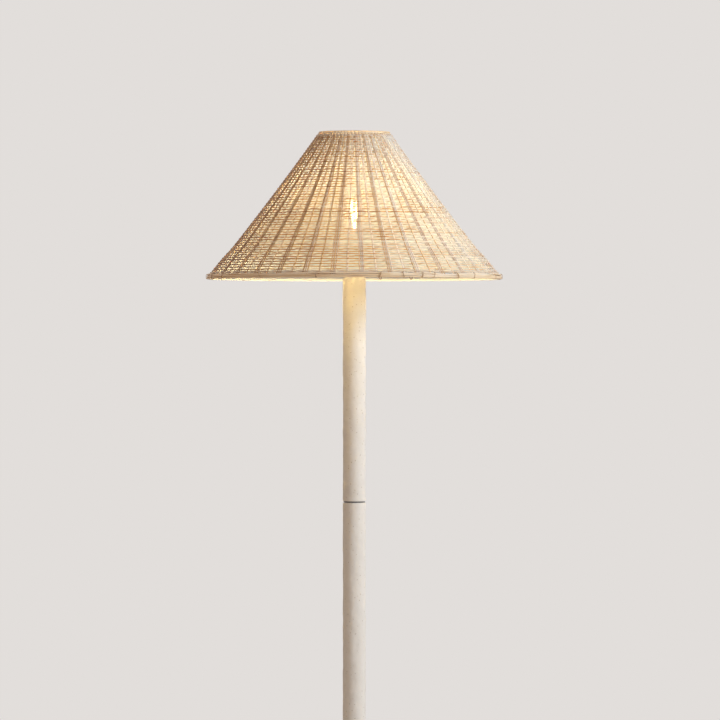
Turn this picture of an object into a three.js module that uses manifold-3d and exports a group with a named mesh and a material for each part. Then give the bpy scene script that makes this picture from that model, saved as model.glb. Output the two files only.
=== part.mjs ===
// Floor lamp with a woven rattan shade on a straight three-part column and a round weighted base.
// Millimetres, +Z up. The origin is on the floor, under the middle of the base; -Y is the front.
import * as THREE from "three";
import { mergeVertices } from "three/addons/utils/BufferGeometryUtils.js";
import Module from "manifold-3d";

const wasm = await Module();
wasm.setup();

// Gaps between pieces that rest on or run in each other, and the overrun of every cut
const seatGap = 0.3;
const boreGap = 0.35;
const cutOverrun = 2;

// Numbers of facets round the axis
const columnSides = 24;
const baseSides = 48;
const socketSides = 24;
const shadeSides = 64;
const rodSides = 16;

// Feet and bottom plate
const footHeight = 4;
const footRadius = 11;
const footTaper = 1.5;
const footCircleRadius = 116;
const footCount = 4;
const plateThickness = 2;

// Base cover: a spun steel pan with a plaster-like coat
const coverRadius = 146;
const coverHeight = 36;
const coverWall = 2;
const coverShoulderRadius = 13;
const coverShoulderSteps = 4;
const coverSkirtDrop = 1.5;

// Iron weight, clamped under the cover
const weightRadius = 88;
const weightWeb = 10;
const weightRecessRadius = 32;
const weightChannelWidth = 9;
const weightChannelHeight = 8;

// Screws that hold the bottom plate to the weight
const plateScrewCount = 4;
const plateScrewCircleRadius = 60;
const plateScrewRadius = 2;
const plateScrewHeadRadius = 4;
const plateScrewHeadHeight = 1.8;
const plateScrewLength = 12;

// Cord grommet in the back of the cover
const grommetBoreRadius = 3.4;
const grommetNeckRadius = 5.4;
const grommetFlangeRadius = 8;
const grommetFlangeThickness = 1.6;
const grommetHeight = 16;

// Hollow threaded rod and its clamp washer and nut
const rodRadius = 4.85;
const rodBoreRadius = 3.4;
const rodLowerReach = 9;
const clampWasherRadius = 15;
const clampWasherThickness = 2;
const clampNutRadius = 10;
const clampNutHeight = 6;

// Collar between base and column
const collarHeight = 29.7;
const collarFootRadius = 33;
const collarFootHeight = 4;
const collarWaistSteps = 5;

// Column tubes, their end plugs, the studs that join them and the washers in the seams
const columnRadius = 19.5;
const columnWall = 1.5;
const tubeLength = 384.2;
const tubeCount = 3;
const plugLength = 24;
const plugInset = 1;
const seamWasherRadius = 18;
const seamWasherThickness = 1.2;
const studLength = 34;

// Cap on the column, and the nipple that carries saddle and socket
const capThickness = 2;
const capEdge = 0.8;
const nippleReach = 15;

// Harp saddle
const saddleThickness = 2;
const saddleWidth = 14;
const saddleHalfSpan = 27;
const saddleUprightHeight = 14;
const saddlePinLength = 9;

// Harp wire, its crown, and the locking sleeves
const harpWireRadius = 1.7;
const harpHeight = 216;
const harpHalfWidth = 52;
const harpLegStraight = 34;
const harpSteps = 44;
const harpWireSides = 6;
const crownRadius = 8;
const crownThickness = 3.6;
const sleeveWall = 1.2;
const sleeveLength = 15;

// Swivel stud: rivet head, neck, seat plate and threaded end
const swivelHeadRadius = 4.5;
const swivelHeadHeight = 1.6;
const swivelNeckRadius = 2.4;
const swivelSeatRadius = 12;
const swivelSeatThickness = 1.5;
const swivelThreadRadius = 3.1;
const swivelThreadLength = 13;

// Finial
const finialHeight = 17;
const finialFootRadius = 6.5;
const finialWaistRadius = 5;
const finialBallRadius = 8;
const finialBoreDepth = 13;

// Socket: cap, shell, liner, switch body, threaded shell and contact
const socketCapHeight = 24;
const socketCapRadius = 17.5;
const socketCapHubRadius = 8;
const socketCapHubHeight = 5;
const socketCapNeckHeight = 9;
const socketCapWall = 1;
const socketShellHeight = 46;
const socketShellWall = 0.9;
const socketShellOverlap = 9;
const socketBead = 0.8;
const linerWall = 0.8;
const linerInset = 1;
const switchBodyHeight = 21;
const terminalScrewRadius = 2.6;
const terminalScrewHeadHeight = 1.2;
const terminalScrewShankRadius = 1.3;
const terminalScrewShankLength = 4;
const threadShellWall = 0.5;
const threadShellHeight = 24;
const contactRadius = 3.5;
const contactHeight = 2;

// Turn knob and its shaft
const shaftRadius = 1.6;
const shaftInnerReach = 7;
const shaftRise = 15;
const knobRadius = 6.5;
const knobLength = 15;
const knobFluteDepth = 0.7;
const knobFlutes = 10;
const knobStandOff = 1.5;
const knobBoreDepth = 8;

// Bulb: contact, screw base, glass, and the stem with its filaments
const bulbContactRadius = 4.4;
const bulbContactHeight = 3;
const bulbBaseRadius = 12.9;
const bulbBaseHeight = 21;
const bulbThreadDepth = 0.9;
const bulbThreadPitch = 3.6;
const bulbThreadCount = 4;
const bulbGlassHeight = 84;
const bulbGlassRadius = 30;
const bulbNeckRadius = 12.6;
const bulbGlassWall = 1;
const bulbStemRadius = 5;
const bulbStemHeight = 28;
const filamentRadius = 1;
const filamentLength = 34;
const filamentLean = 6;

// Shade: a woven cone with a slight hollow to its side
const shadeHeight = 251.5;
const shadeBottomRadius = 254;
const shadeTopRadius = 62.5;
const shadeHollow = 3;
const shadeWall = 3.4;
const shadeRings = 2;
const weaveRibCount = 16;
const weaveRibWidth = 10;
const weaveSlotRows = 7;
const weaveBandHeight = 14;
const stakePairs = 32;
const firstStakeDegrees = 3;
const mainStakeWidth = 7;
const byeStakeWidth = 2.4;
const stakeThickness = 2.4;
const hoopHeight = 4;
const hoopSwell = 0.3;
const topBorderSides = 32;
const topBorderHeight = 5;
const topBorderDepth = 8;
const bottomBorderHeight = 8;
const bottomBorderDepth = 8.4;
const shadeLinerThickness = 0.8;
const shadeLinerSides = 32;
const rimWireRadius = 1.6;
const rimWireSides = 6;

// Spider that carries the shade on the swivel seat
const spiderHubRadius = 15;
const spiderHubThickness = 1.6;
const spiderRise = 17;
const spiderArmRadius = 1.6;
const spiderArmCount = 3;
const spiderArmFlat = 9;
const spiderRingInset = 4.9;

// Lead inside the column
const leadRadius = 2.1;
const leadSides = 8;
const leadBendRadius = 9;

// Outlines as shares of the sizes they follow
const harpStraightShares = [0, 1 / 3, 2 / 3, 1];
const harpShapeShares = [
  // [half width, height]
  [0.74, 0.3],
  [0.95, 0.43],
  [1, 0.57],
  [0.92, 0.72],
  [0.68, 0.87],
  [0.38, 0.965],
];
const glassShapeShares = [
  // [radius between neck and belly, height]
  [0, 0.1],
  [0.16, 0.22],
  [0.46, 0.36],
  [0.8, 0.5],
  [1, 0.66],
];
const glassDomeSteps = 5;
const finialFootShares = [0, 0.12];
const finialWaistShare = 0.22;
const finialShapeShares = [
  // [radius as a share of the ball, height]
  [0.86, 0.44],
  [1, 0.6],
  [0.9, 0.78],
  [0.56, 0.94],
];

// Heights worked out from the floor up
const plateBottom = footHeight;
const plateTop = plateBottom + plateThickness;
const coverBottom = plateBottom - coverSkirtDrop;
const coverTop = footHeight + coverHeight;
const coverInnerRadius = coverRadius - coverWall;
const coverCeiling = coverTop - coverWall;
const weightTop = coverCeiling - seatGap;
const weightBottom = plateTop + seatGap;
const weightWebBottom = weightTop - weightWeb;
const clampWasherTop = weightWebBottom - seatGap;
const clampNutTop = clampWasherTop - clampWasherThickness - seatGap;
const rodBottom = weightWebBottom - rodLowerReach;
const collarBottom = coverTop + seatGap;
const collarTop = collarBottom + collarHeight;
const columnBottom = collarTop + seatGap;
const columnPitch = tubeLength + seamWasherThickness + 2 * seatGap;
const columnTop = columnBottom + (tubeCount - 1) * columnPitch + tubeLength;
const tubeBottoms = [...Array(tubeCount).keys()].map((i) => columnBottom + i * columnPitch);
const capTop = columnTop + seatGap + capThickness;
const saddleBottom = capTop + seatGap;
const saddleTop = saddleBottom + saddleThickness;
const socketBottom = saddleTop + seatGap;
const socketHubTop = socketBottom + socketCapHubHeight;
const socketCapTop = socketBottom + socketCapHeight;
const shellBottom = socketCapTop - socketShellOverlap;
const shellTop = shellBottom + socketShellHeight;
const shellRadius = socketCapRadius - socketCapWall - boreGap;
const linerRadius = shellRadius - socketShellWall - boreGap;
const linerInnerRadius = linerRadius - linerWall;
const nippleTop = socketHubTop;
const switchBodyRadius = linerInnerRadius - boreGap;
const switchBodyBottom = shellBottom;
const switchBodyTop = switchBodyBottom + switchBodyHeight;
const shaftHeight = switchBodyBottom + shaftRise;
const contactBottom = switchBodyTop + seatGap;
const bulbBottom = contactBottom + contactHeight + seatGap;
const bulbBaseBottom = bulbBottom + bulbContactHeight;
const bulbBaseTop = bulbBaseBottom + bulbBaseHeight;
const glassBottom = bulbBaseTop + seatGap;
const pinBottom = saddleTop + saddleUprightHeight;
const pinTop = pinBottom + saddlePinLength;
const harpLegBottom = pinTop + seatGap;
const crownTop = saddleTop + harpHeight;
const crownBottom = crownTop - crownThickness;
const sleeveBottom = pinBottom + seatGap;
const sleeveBore = harpWireRadius + boreGap;
const swivelSeatBottom = crownTop + seatGap;
const swivelSeatTop = swivelSeatBottom + swivelSeatThickness;
const hubBottom = swivelSeatTop + seatGap;
const hubTop = hubBottom + spiderHubThickness;
const finialBottom = hubTop + seatGap;
const spiderRingHeight = hubBottom + spiderHubThickness / 2 + spiderRise;
const shadeTop = spiderRingHeight + spiderRingInset + rimWireRadius;
const shadeBottom = shadeTop - shadeHeight;
const weaveTop = shadeTop - topBorderHeight - seatGap;
const weaveBottom = shadeBottom + bottomBorderHeight + seatGap;

// Finishes
const finish = (color, roughness, metalness, extra = {}) =>
  new THREE.MeshStandardMaterial({ color, roughness, metalness, ...extra });
const plaster = finish(0xe4ddd0, 0.92, 0);
const rattan = finish(0xd9b98c, 0.62, 0);
const rattanDark = finish(0xb98f5c, 0.65, 0);
const linerSheet = finish(0xf2ead9, 0.8, 0);
const zincSteel = finish(0xb9bcc0, 0.38, 1);
const castIron = finish(0x4a4846, 0.7, 1);
const rubber = finish(0x2b2a29, 0.85, 0);
const nickel = finish(0xc9c5bd, 0.25, 1);
const blackPlastic = finish(0x26231f, 0.45, 0);
const fibre = finish(0x4d4036, 0.9, 0);
const brass = finish(0xc8a252, 0.3, 1);
const frostedGlass = finish(0xfff3dc, 0.5, 0, { transparent: true, opacity: 0.75 });
const filamentCoat = finish(0xf5c65a, 0.6, 0);
const leadJacket = finish(0xd8d2c4, 0.6, 0);

// Closed outlines are lists of [radius, height]; a turned solid has its outline anticlockwise.
function signedArea(outline) {
  return outline.reduce((sum, [r, z], i) => {
    const [nextR, nextZ] = outline[(i + 1) % outline.length];
    return sum + r * nextZ - nextR * z;
  }, 0);
}

// A solid turned about the vertical axis. An outline on the axis starts and ends there.
function turned(outline, sides) {
  const ordered = signedArea(outline) > 0 ? outline : [...outline].reverse();
  const start = ordered.findIndex(([r], i) => {
    const previous = ordered[(i + ordered.length - 1) % ordered.length];
    return r === 0 && previous[0] === 0;
  });
  const onAxis = start >= 0;
  const first = onAxis ? start : 0;
  const open = [...ordered.slice(first), ...ordered.slice(0, first)];
  const closed = onAxis ? open : [...open, open[0]];
  const points = closed.map(([r, z]) => new THREE.Vector2(r, z));
  return new THREE.LatheGeometry(points, sides).rotateX(Math.PI / 2);
}

// A ring with a square section
function ring(inner, outer, bottom, top, sides) {
  return turned([[inner, bottom], [outer, bottom], [outer, top], [inner, top]], sides);
}

function disc(radius, bottom, top, sides) {
  return turned([[0, bottom], [radius, bottom], [radius, top], [0, top]], sides);
}

// A ring of round wire
function wireRing(ringRadius, wireRadius, height, sides, wireSides) {
  const outline = [...Array(wireSides).keys()].map((i) => {
    const angle = (2 * Math.PI * (i + 0.5)) / wireSides;
    return [ringRadius + wireRadius * Math.cos(angle), height + wireRadius * Math.sin(angle)];
  });
  return turned(outline, sides);
}

function polygonShape(radius, sides) {
  const corners = [...Array(sides).keys()].map((i) => {
    const angle = (2 * Math.PI * i) / sides;
    return new THREE.Vector2(radius * Math.cos(angle), radius * Math.sin(angle));
  });
  return new THREE.Shape(corners);
}

// Wire or cable along a curve
function wire(curve, radius, sides, steps) {
  return new THREE.ExtrudeGeometry(polygonShape(radius, sides), { steps, extrudePath: curve });
}

// A plate whose outline lies in the XZ plane, with its thickness along Y and its middle on y = 0
function sidePlate(points, thickness) {
  const shape = new THREE.Shape(points.map(([x, z]) => new THREE.Vector2(x, z)));
  const plate = new THREE.ExtrudeGeometry(shape, { depth: thickness, bevelEnabled: false });
  return plate.rotateX(Math.PI / 2).translate(0, thickness / 2, 0);
}

// A round bar along -Y from one distance to another
function barToFront(radius, from, to, height, sides) {
  return disc(radius, from, to, sides).rotateX(Math.PI / 2).translate(0, 0, height);
}

function solidOf(geometry) {
  const bare = geometry.index ? geometry.toNonIndexed() : geometry.clone();
  bare.deleteAttribute("normal");
  bare.deleteAttribute("uv");
  const merged = mergeVertices(bare);
  const vertProperties = merged.attributes.position.array;
  const triVerts = new Uint32Array(merged.index.array);
  return new wasm.Manifold(new wasm.Mesh({ numProp: 3, vertProperties, triVerts }));
}

function geometryOf(solid) {
  const mesh = solid.getMesh();
  const indexed = new THREE.BufferGeometry();
  indexed.setAttribute("position", new THREE.BufferAttribute(mesh.vertProperties, mesh.numProp));
  indexed.setIndex(new THREE.BufferAttribute(mesh.triVerts, 1));
  const flat = indexed.toNonIndexed();
  flat.computeVertexNormals();
  return flat;
}

const joined = (...pieces) => geometryOf(pieces.map(solidOf).reduce((sum, next) => sum.add(next)));

const cut = (body, ...tools) =>
  geometryOf(tools.map(solidOf).reduce((rest, tool) => rest.subtract(tool), solidOf(body)));

function named(name, geometry, material) {
  const mesh = new THREE.Mesh(geometry, material);
  mesh.name = name;
  return mesh;
}

// Places count copies, made by make(i), evenly on a circle, the first one at the start angle
function onCircle(count, radius, startAngle, make) {
  return [...Array(count).keys()].map((i) => {
    const angle = startAngle + (2 * Math.PI * i) / count;
    const mesh = make(i);
    mesh.position.set(radius * Math.cos(angle), radius * Math.sin(angle), 0);
    return mesh;
  });
}

// Base

function feet() {
  const outline = [
    [0, 0],
    [footRadius - footTaper, 0],
    [footRadius, footTaper],
    [footRadius, footHeight - seatGap],
    [0, footHeight - seatGap],
  ];
  return onCircle(footCount, footCircleRadius, Math.PI / footCount, (i) =>
    named(`rubber_foot_${i + 1}`, turned(outline, rodSides), rubber),
  );
}

const plateScrewAngle = Math.PI / plateScrewCount;

function screwHoles(radius, bottom, top) {
  return [...Array(plateScrewCount).keys()].map((i) => {
    const angle = plateScrewAngle + (2 * Math.PI * i) / plateScrewCount;
    return disc(radius, bottom, top, rodSides).translate(
      plateScrewCircleRadius * Math.cos(angle),
      plateScrewCircleRadius * Math.sin(angle),
      0,
    );
  });
}

function basePlate() {
  const plate = disc(coverInnerRadius - boreGap, plateBottom, plateTop, baseSides);
  const holes = screwHoles(plateScrewRadius + boreGap, plateBottom - cutOverrun, plateTop + cutOverrun);
  return named("base_plate", cut(plate, ...holes), zincSteel);
}

function plateScrews() {
  const headTop = plateBottom - seatGap;
  const outline = [
    [0, headTop - plateScrewHeadHeight],
    [plateScrewHeadRadius, headTop - plateScrewHeadHeight],
    [plateScrewHeadRadius, headTop],
    [plateScrewRadius, headTop],
    [plateScrewRadius, headTop + plateScrewLength],
    [0, headTop + plateScrewLength],
  ];
  return onCircle(plateScrewCount, plateScrewCircleRadius, plateScrewAngle, (i) =>
    named(`plate_screw_${i + 1}`, turned(outline, rodSides), zincSteel),
  );
}

function baseCover() {
  const shoulder = (radius, wallRadius, height) =>
    [...Array(coverShoulderSteps + 1).keys()].map((i) => {
      const angle = (Math.PI / 2) * (i / coverShoulderSteps);
      return [
        wallRadius - radius + radius * Math.cos(angle),
        height - radius + radius * Math.sin(angle),
      ];
    });
  const hole = rodRadius + boreGap;
  const outline = [
    [coverRadius, coverBottom],
    ...shoulder(coverShoulderRadius, coverRadius, coverTop),
    [hole, coverTop],
    [hole, coverCeiling],
    ...shoulder(coverShoulderRadius - coverWall, coverInnerRadius, coverCeiling).reverse(),
    [coverInnerRadius, coverBottom],
  ];
  const cordHole = disc(
    grommetNeckRadius + boreGap,
    -coverRadius - cutOverrun,
    -coverInnerRadius + grommetFlangeRadius,
    rodSides,
  )
    .rotateX(Math.PI / 2)
    .translate(0, 0, grommetHeight);
  return named("base_cover", cut(turned(outline, baseSides), cordHole), plaster);
}

// Rubber bush whose groove takes the cover's wall. It is turned about its own axis, then laid along Y.
function cordGrommet() {
  const outer = coverRadius + seatGap;
  const facetSag = coverInnerRadius * (1 - Math.cos(Math.PI / baseSides));
  const curveSag = coverInnerRadius - Math.sqrt(coverInnerRadius ** 2 - grommetFlangeRadius ** 2);
  const inner = coverInnerRadius - facetSag - curveSag - seatGap;
  const outline = [
    [grommetBoreRadius, inner - grommetFlangeThickness],
    [grommetFlangeRadius, inner - grommetFlangeThickness],
    [grommetFlangeRadius, inner],
    [grommetNeckRadius, inner],
    [grommetNeckRadius, outer],
    [grommetFlangeRadius, outer],
    [grommetFlangeRadius, outer + grommetFlangeThickness],
    [grommetBoreRadius, outer + grommetFlangeThickness],
  ];
  const bush = turned(outline, rodSides).rotateX(-Math.PI / 2).translate(0, 0, grommetHeight);
  return named("cord_grommet", bush, rubber);
}

function baseWeight() {
  const hole = rodRadius + boreGap;
  const outline = [
    [hole, weightWebBottom],
    [weightRecessRadius, weightWebBottom],
    [weightRecessRadius, weightBottom],
    [weightRadius, weightBottom],
    [weightRadius, weightTop],
    [hole, weightTop],
  ];
  const channelTop = weightBottom + weightChannelHeight;
  const channel = new THREE.BoxGeometry(
    weightChannelWidth,
    weightRadius,
    weightChannelHeight + cutOverrun,
  ).translate(
    0,
    weightRecessRadius / 2 + weightRadius / 2 + cutOverrun,
    channelTop - (weightChannelHeight + cutOverrun) / 2,
  );
  const screwTop = plateBottom - seatGap + plateScrewLength + cutOverrun;
  const holes = screwHoles(plateScrewRadius + boreGap, weightBottom - cutOverrun, screwTop);
  return named("base_weight", cut(turned(outline, baseSides), channel, ...holes), castIron);
}

function baseClamp() {
  const rodTop = columnBottom + plugLength - plugInset;
  const nutSides = 6;
  const hole = rodRadius + boreGap;
  return [
    named("base_rod", ring(rodBoreRadius, rodRadius, rodBottom, rodTop, rodSides), zincSteel),
    named(
      "clamp_washer",
      ring(hole, clampWasherRadius, clampWasherTop - clampWasherThickness, clampWasherTop, rodSides),
      zincSteel,
    ),
    named(
      "clamp_nut",
      cut(
        disc(clampNutRadius, clampNutTop - clampNutHeight, clampNutTop, nutSides),
        disc(hole, clampNutTop - clampNutHeight - cutOverrun, clampNutTop + cutOverrun, rodSides),
      ),
      zincSteel,
    ),
  ];
}

function baseCollar() {
  const waist = [...Array(collarWaistSteps + 1).keys()].map((i) => {
    const angle = (Math.PI / 2) * (i / collarWaistSteps);
    const sweep = collarHeight - collarFootHeight;
    return [
      collarFootRadius - (collarFootRadius - columnRadius) * Math.sin(angle),
      collarBottom + collarFootHeight + sweep * (1 - Math.cos(angle)),
    ];
  });
  const hole = rodRadius + boreGap;
  const outline = [[hole, collarBottom], [collarFootRadius, collarBottom], ...waist, [hole, collarTop]];
  return named("base_collar", turned(outline, columnSides), plaster);
}

// Column

const tubeNames = ["lower", "middle", "upper"];

function columnTubes() {
  return tubeBottoms.map((bottom, i) =>
    named(
      `column_tube_${tubeNames[i] ?? i + 1}`,
      ring(columnRadius - columnWall, columnRadius, bottom, bottom + tubeLength, columnSides),
      plaster,
    ),
  );
}

function tubePlugs() {
  const radius = columnRadius - columnWall - boreGap;
  const hole = rodRadius + boreGap;
  return tubeBottoms.flatMap((bottom, i) => {
    const place = tubeNames[i] ?? i + 1;
    const top = bottom + tubeLength - plugInset;
    const foot = bottom + plugInset;
    return [
      named(`plug_${place}_foot`, ring(hole, radius, foot, foot + plugLength, columnSides), zincSteel),
      named(`plug_${place}_head`, ring(hole, radius, top - plugLength, top, columnSides), zincSteel),
    ];
  });
}

// Where two tubes meet, a hollow stud joins their plugs through a thin washer
function columnSeams() {
  return tubeBottoms.slice(1).flatMap((bottom, i) => {
    const place = tubeNames[i] ?? i + 1;
    const washerBottom = bottom - seatGap - seamWasherThickness;
    const middle = washerBottom + seamWasherThickness / 2;
    const hole = rodRadius + boreGap;
    return [
      named(
        `seam_washer_${place}`,
        ring(hole, seamWasherRadius, washerBottom, washerBottom + seamWasherThickness, columnSides),
        rubber,
      ),
      named(
        `seam_stud_${place}`,
        ring(rodBoreRadius, rodRadius, middle - studLength / 2, middle + studLength / 2, rodSides),
        zincSteel,
      ),
    ];
  });
}

function columnHead() {
  const capBottom = columnTop + seatGap;
  const hole = rodRadius + boreGap;
  const outline = [
    [hole, capBottom],
    [columnRadius, capBottom],
    [columnRadius, capTop - capEdge],
    [columnRadius - capEdge, capTop],
    [hole, capTop],
  ];
  return [
    named("column_cap", turned(outline, columnSides), plaster),
    named(
      "top_nipple",
      ring(rodBoreRadius, rodRadius, columnTop - nippleReach, nippleTop, rodSides),
      zincSteel,
    ),
  ];
}

// Saddle, harp and swivel

function harpSaddle() {
  const outer = saddleHalfSpan + saddleThickness / 2;
  const inner = saddleHalfSpan - saddleThickness / 2;
  const strip = sidePlate(
    [
      [-outer, saddleBottom],
      [outer, saddleBottom],
      [outer, pinBottom],
      [inner, pinBottom],
      [inner, saddleTop],
      [-inner, saddleTop],
      [-inner, pinBottom],
      [-outer, pinBottom],
    ],
    saddleWidth,
  );
  const pins = [-saddleHalfSpan, saddleHalfSpan].map((x) =>
    disc(harpWireRadius, pinBottom - saddleThickness, pinTop, harpWireSides).translate(x, 0, 0),
  );
  const hole = disc(
    rodRadius + boreGap,
    saddleBottom - cutOverrun,
    saddleTop + cutOverrun,
    rodSides,
  );
  return named("harp_saddle", cut(joined(strip, ...pins), hole), nickel);
}

function harp() {
  const rise = crownTop - harpLegBottom;
  const crownMiddle = crownTop - crownThickness / 2;
  const half = harpShapeShares.map(([widthShare, heightShare]) => [
    harpHalfWidth * widthShare,
    harpLegBottom + rise * heightShare,
  ]);
  const leg = [
    ...harpStraightShares.map((share) => [saddleHalfSpan, harpLegBottom + harpLegStraight * share]),
    ...half,
  ];
  const mirrored = [...leg].reverse().map(([x, z]) => [-x, z]);
  const flat = [
    [crownRadius, crownMiddle],
    [0, crownMiddle],
    [-crownRadius, crownMiddle],
  ];
  const points = [...leg, ...flat, ...mirrored].map(([x, z]) => new THREE.Vector3(x, 0, z));
  const path = new THREE.CatmullRomCurve3(points, false, "centripetal");
  const loop = wire(path, harpWireRadius, harpWireSides, harpSteps);
  const crown = disc(crownRadius, crownBottom, crownTop, rodSides);
  const hole = disc(
    swivelNeckRadius + boreGap,
    crownBottom - cutOverrun,
    crownTop + cutOverrun,
    rodSides,
  );
  return named("harp", cut(joined(loop, crown), hole), nickel);
}

function harpSleeve(name, side) {
  const bore = sleeveBore;
  const sleeve = ring(bore, bore + sleeveWall, sleeveBottom, sleeveBottom + sleeveLength, rodSides);
  return named(name, sleeve.translate(side * saddleHalfSpan, 0, 0), nickel);
}

function swivelStud() {
  const headTop = crownBottom - seatGap;
  const outline = [
    [0, headTop - swivelHeadHeight],
    [swivelHeadRadius, headTop - swivelHeadHeight],
    [swivelHeadRadius, headTop],
    [swivelNeckRadius, headTop],
    [swivelNeckRadius, swivelSeatBottom],
    [swivelSeatRadius, swivelSeatBottom],
    [swivelSeatRadius, swivelSeatTop],
    [swivelThreadRadius, swivelSeatTop],
    [swivelThreadRadius, swivelSeatTop + swivelThreadLength],
    [0, swivelSeatTop + swivelThreadLength],
  ];
  return named("swivel_stud", turned(outline, rodSides), brass);
}

function finial() {
  const bore = swivelThreadRadius + boreGap;
  const outline = [
    [bore, finialBottom],
    ...finialFootShares.map((share) => [finialFootRadius, finialBottom + finialHeight * share]),
    [finialWaistRadius, finialBottom + finialHeight * finialWaistShare],
    ...finialShapeShares.map(([r, h]) => [finialBallRadius * r, finialBottom + finialHeight * h]),
    [0, finialBottom + finialHeight],
    [0, finialBottom + finialBoreDepth],
    [bore, finialBottom + finialBoreDepth],
  ];
  return named("finial", turned(outline, rodSides), brass);
}

// Socket and switch

function socketCap() {
  const bore = rodRadius + boreGap;
  const flareTop = socketBottom + socketCapNeckHeight + socketCapWall;
  const inner = socketCapRadius - socketCapWall;
  const outline = [
    [bore, socketBottom],
    [socketCapHubRadius, socketBottom],
    [socketCapHubRadius, socketHubTop - socketCapWall],
    [socketCapRadius, flareTop],
    [socketCapRadius, socketCapTop],
    [inner, socketCapTop],
    [inner, flareTop + socketCapWall],
    [socketCapHubRadius, socketHubTop + socketCapWall / 2],
    [bore, socketHubTop + socketCapWall / 2],
  ];
  return named("socket_cap", turned(outline, socketSides), nickel);
}

const shaftHole = () =>
  barToFront(
    shaftRadius + boreGap + seatGap,
    switchBodyRadius - cutOverrun,
    socketCapRadius + cutOverrun,
    shaftHeight,
    rodSides,
  );

function socketShell() {
  const inner = shellRadius - socketShellWall;
  const beadBottom = shellTop - 2 * socketBead;
  const outline = [
    [inner, shellBottom],
    [shellRadius, shellBottom],
    [shellRadius, beadBottom],
    [shellRadius + socketBead, shellTop - socketBead],
    [shellRadius, shellTop],
    [inner, shellTop],
  ];
  return named("socket_shell", cut(turned(outline, socketSides), shaftHole()), nickel);
}

function socketLiner() {
  const bottom = shellBottom + linerInset;
  const top = shellTop - linerInset;
  const tube = ring(linerInnerRadius, linerRadius, bottom, top, socketSides);
  return named("socket_liner", cut(tube, shaftHole()), fibre);
}

const terminalHeight = switchBodyBottom + switchBodyHeight / 3;

function switchBody() {
  const body = disc(switchBodyRadius, switchBodyBottom, switchBodyTop, socketSides);
  const shaftBore = barToFront(
    shaftRadius + boreGap,
    shaftInnerReach - seatGap,
    switchBodyRadius + cutOverrun,
    shaftHeight,
    rodSides,
  );
  const pocketFloor = switchBodyRadius - terminalScrewHeadHeight - 2 * seatGap;
  const pockets = [-1, 1].flatMap((side) => {
    const pocket = disc(
      terminalScrewRadius + boreGap,
      pocketFloor,
      switchBodyRadius + cutOverrun,
      rodSides,
    );
    const shank = disc(
      terminalScrewShankRadius + boreGap,
      pocketFloor - terminalScrewShankLength,
      pocketFloor + cutOverrun,
      rodSides,
    );
    const place = (g) => g.rotateY((side * Math.PI) / 2).translate(0, 0, terminalHeight);
    return [place(pocket), place(shank)];
  });
  return named("switch_body", cut(body, shaftBore, ...pockets), blackPlastic);
}

function terminalScrew(name, side) {
  const headTop = switchBodyRadius - seatGap;
  const headBottom = headTop - terminalScrewHeadHeight;
  const outline = [
    [0, headBottom - terminalScrewShankLength + seatGap],
    [terminalScrewShankRadius, headBottom - terminalScrewShankLength + seatGap],
    [terminalScrewShankRadius, headBottom],
    [terminalScrewRadius, headBottom],
    [terminalScrewRadius, headTop],
    [0, headTop],
  ];
  const screw = turned(outline, rodSides).rotateY((side * Math.PI) / 2);
  return named(name, screw.translate(0, 0, terminalHeight), brass);
}

// Outline of a rolled thread: a wall that swells by the thread's depth once a pitch
function threadPoints(radius, depth, bottom) {
  return [...Array(bulbThreadCount).keys()].flatMap((i) => [
    [radius - depth, bottom + i * bulbThreadPitch],
    [radius, bottom + (i + 0.5) * bulbThreadPitch],
  ]);
}

function threadShell() {
  const outer = linerInnerRadius - boreGap;
  const bottom = contactBottom;
  const top = bottom + threadShellHeight;
  const inner = outer - threadShellWall;
  return named("thread_shell", ring(inner, outer, bottom, top, socketSides), brass);
}

function centreContact() {
  const contact = disc(contactRadius, contactBottom, contactBottom + contactHeight, rodSides);
  return named("centre_contact", contact, brass);
}

function switchShaft() {
  const inner = shaftInnerReach;
  const outer = socketCapRadius + knobStandOff + knobBoreDepth - seatGap;
  return named("switch_shaft", barToFront(shaftRadius, inner, outer, shaftHeight, rodSides), brass);
}

function switchKnob() {
  const corners = [...Array(2 * knobFlutes).keys()].map((i) => {
    const angle = (Math.PI * i) / knobFlutes;
    const radius = knobRadius - (i % 2 ? knobFluteDepth : 0);
    return new THREE.Vector2(radius * Math.cos(angle), radius * Math.sin(angle));
  });
  const back = socketCapRadius + knobStandOff;
  const grip = new THREE.ExtrudeGeometry(new THREE.Shape(corners), {
    depth: knobLength,
    bevelEnabled: false,
  })
    .translate(0, 0, back)
    .rotateX(Math.PI / 2)
    .translate(0, 0, shaftHeight);
  const bore = barToFront(
    shaftRadius + boreGap,
    back - cutOverrun,
    back + knobBoreDepth,
    shaftHeight,
    rodSides,
  );
  return named("switch_knob", cut(grip, bore), blackPlastic);
}

// Bulb

function bulbBase() {
  const thread = threadPoints(bulbBaseRadius, bulbThreadDepth, bulbBaseBottom + bulbThreadPitch);
  const threadTop = bulbBaseBottom + (1 + bulbThreadCount) * bulbThreadPitch;
  const inner = bulbStemRadius + boreGap;
  const shoulder = bulbContactRadius + boreGap;
  const outline = [
    [inner, bulbBaseBottom + seatGap],
    [shoulder, bulbBaseBottom + seatGap],
    ...thread,
    [bulbBaseRadius - bulbThreadDepth, threadTop],
    [bulbBaseRadius, threadTop + bulbThreadDepth],
    [bulbBaseRadius, bulbBaseTop],
    [inner, bulbBaseTop],
  ];
  return named("bulb_base", turned(outline, socketSides), nickel);
}

function bulbContact() {
  const contact = disc(bulbContactRadius, bulbBottom, bulbBaseBottom, rodSides);
  return named("bulb_contact", contact, brass);
}

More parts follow.
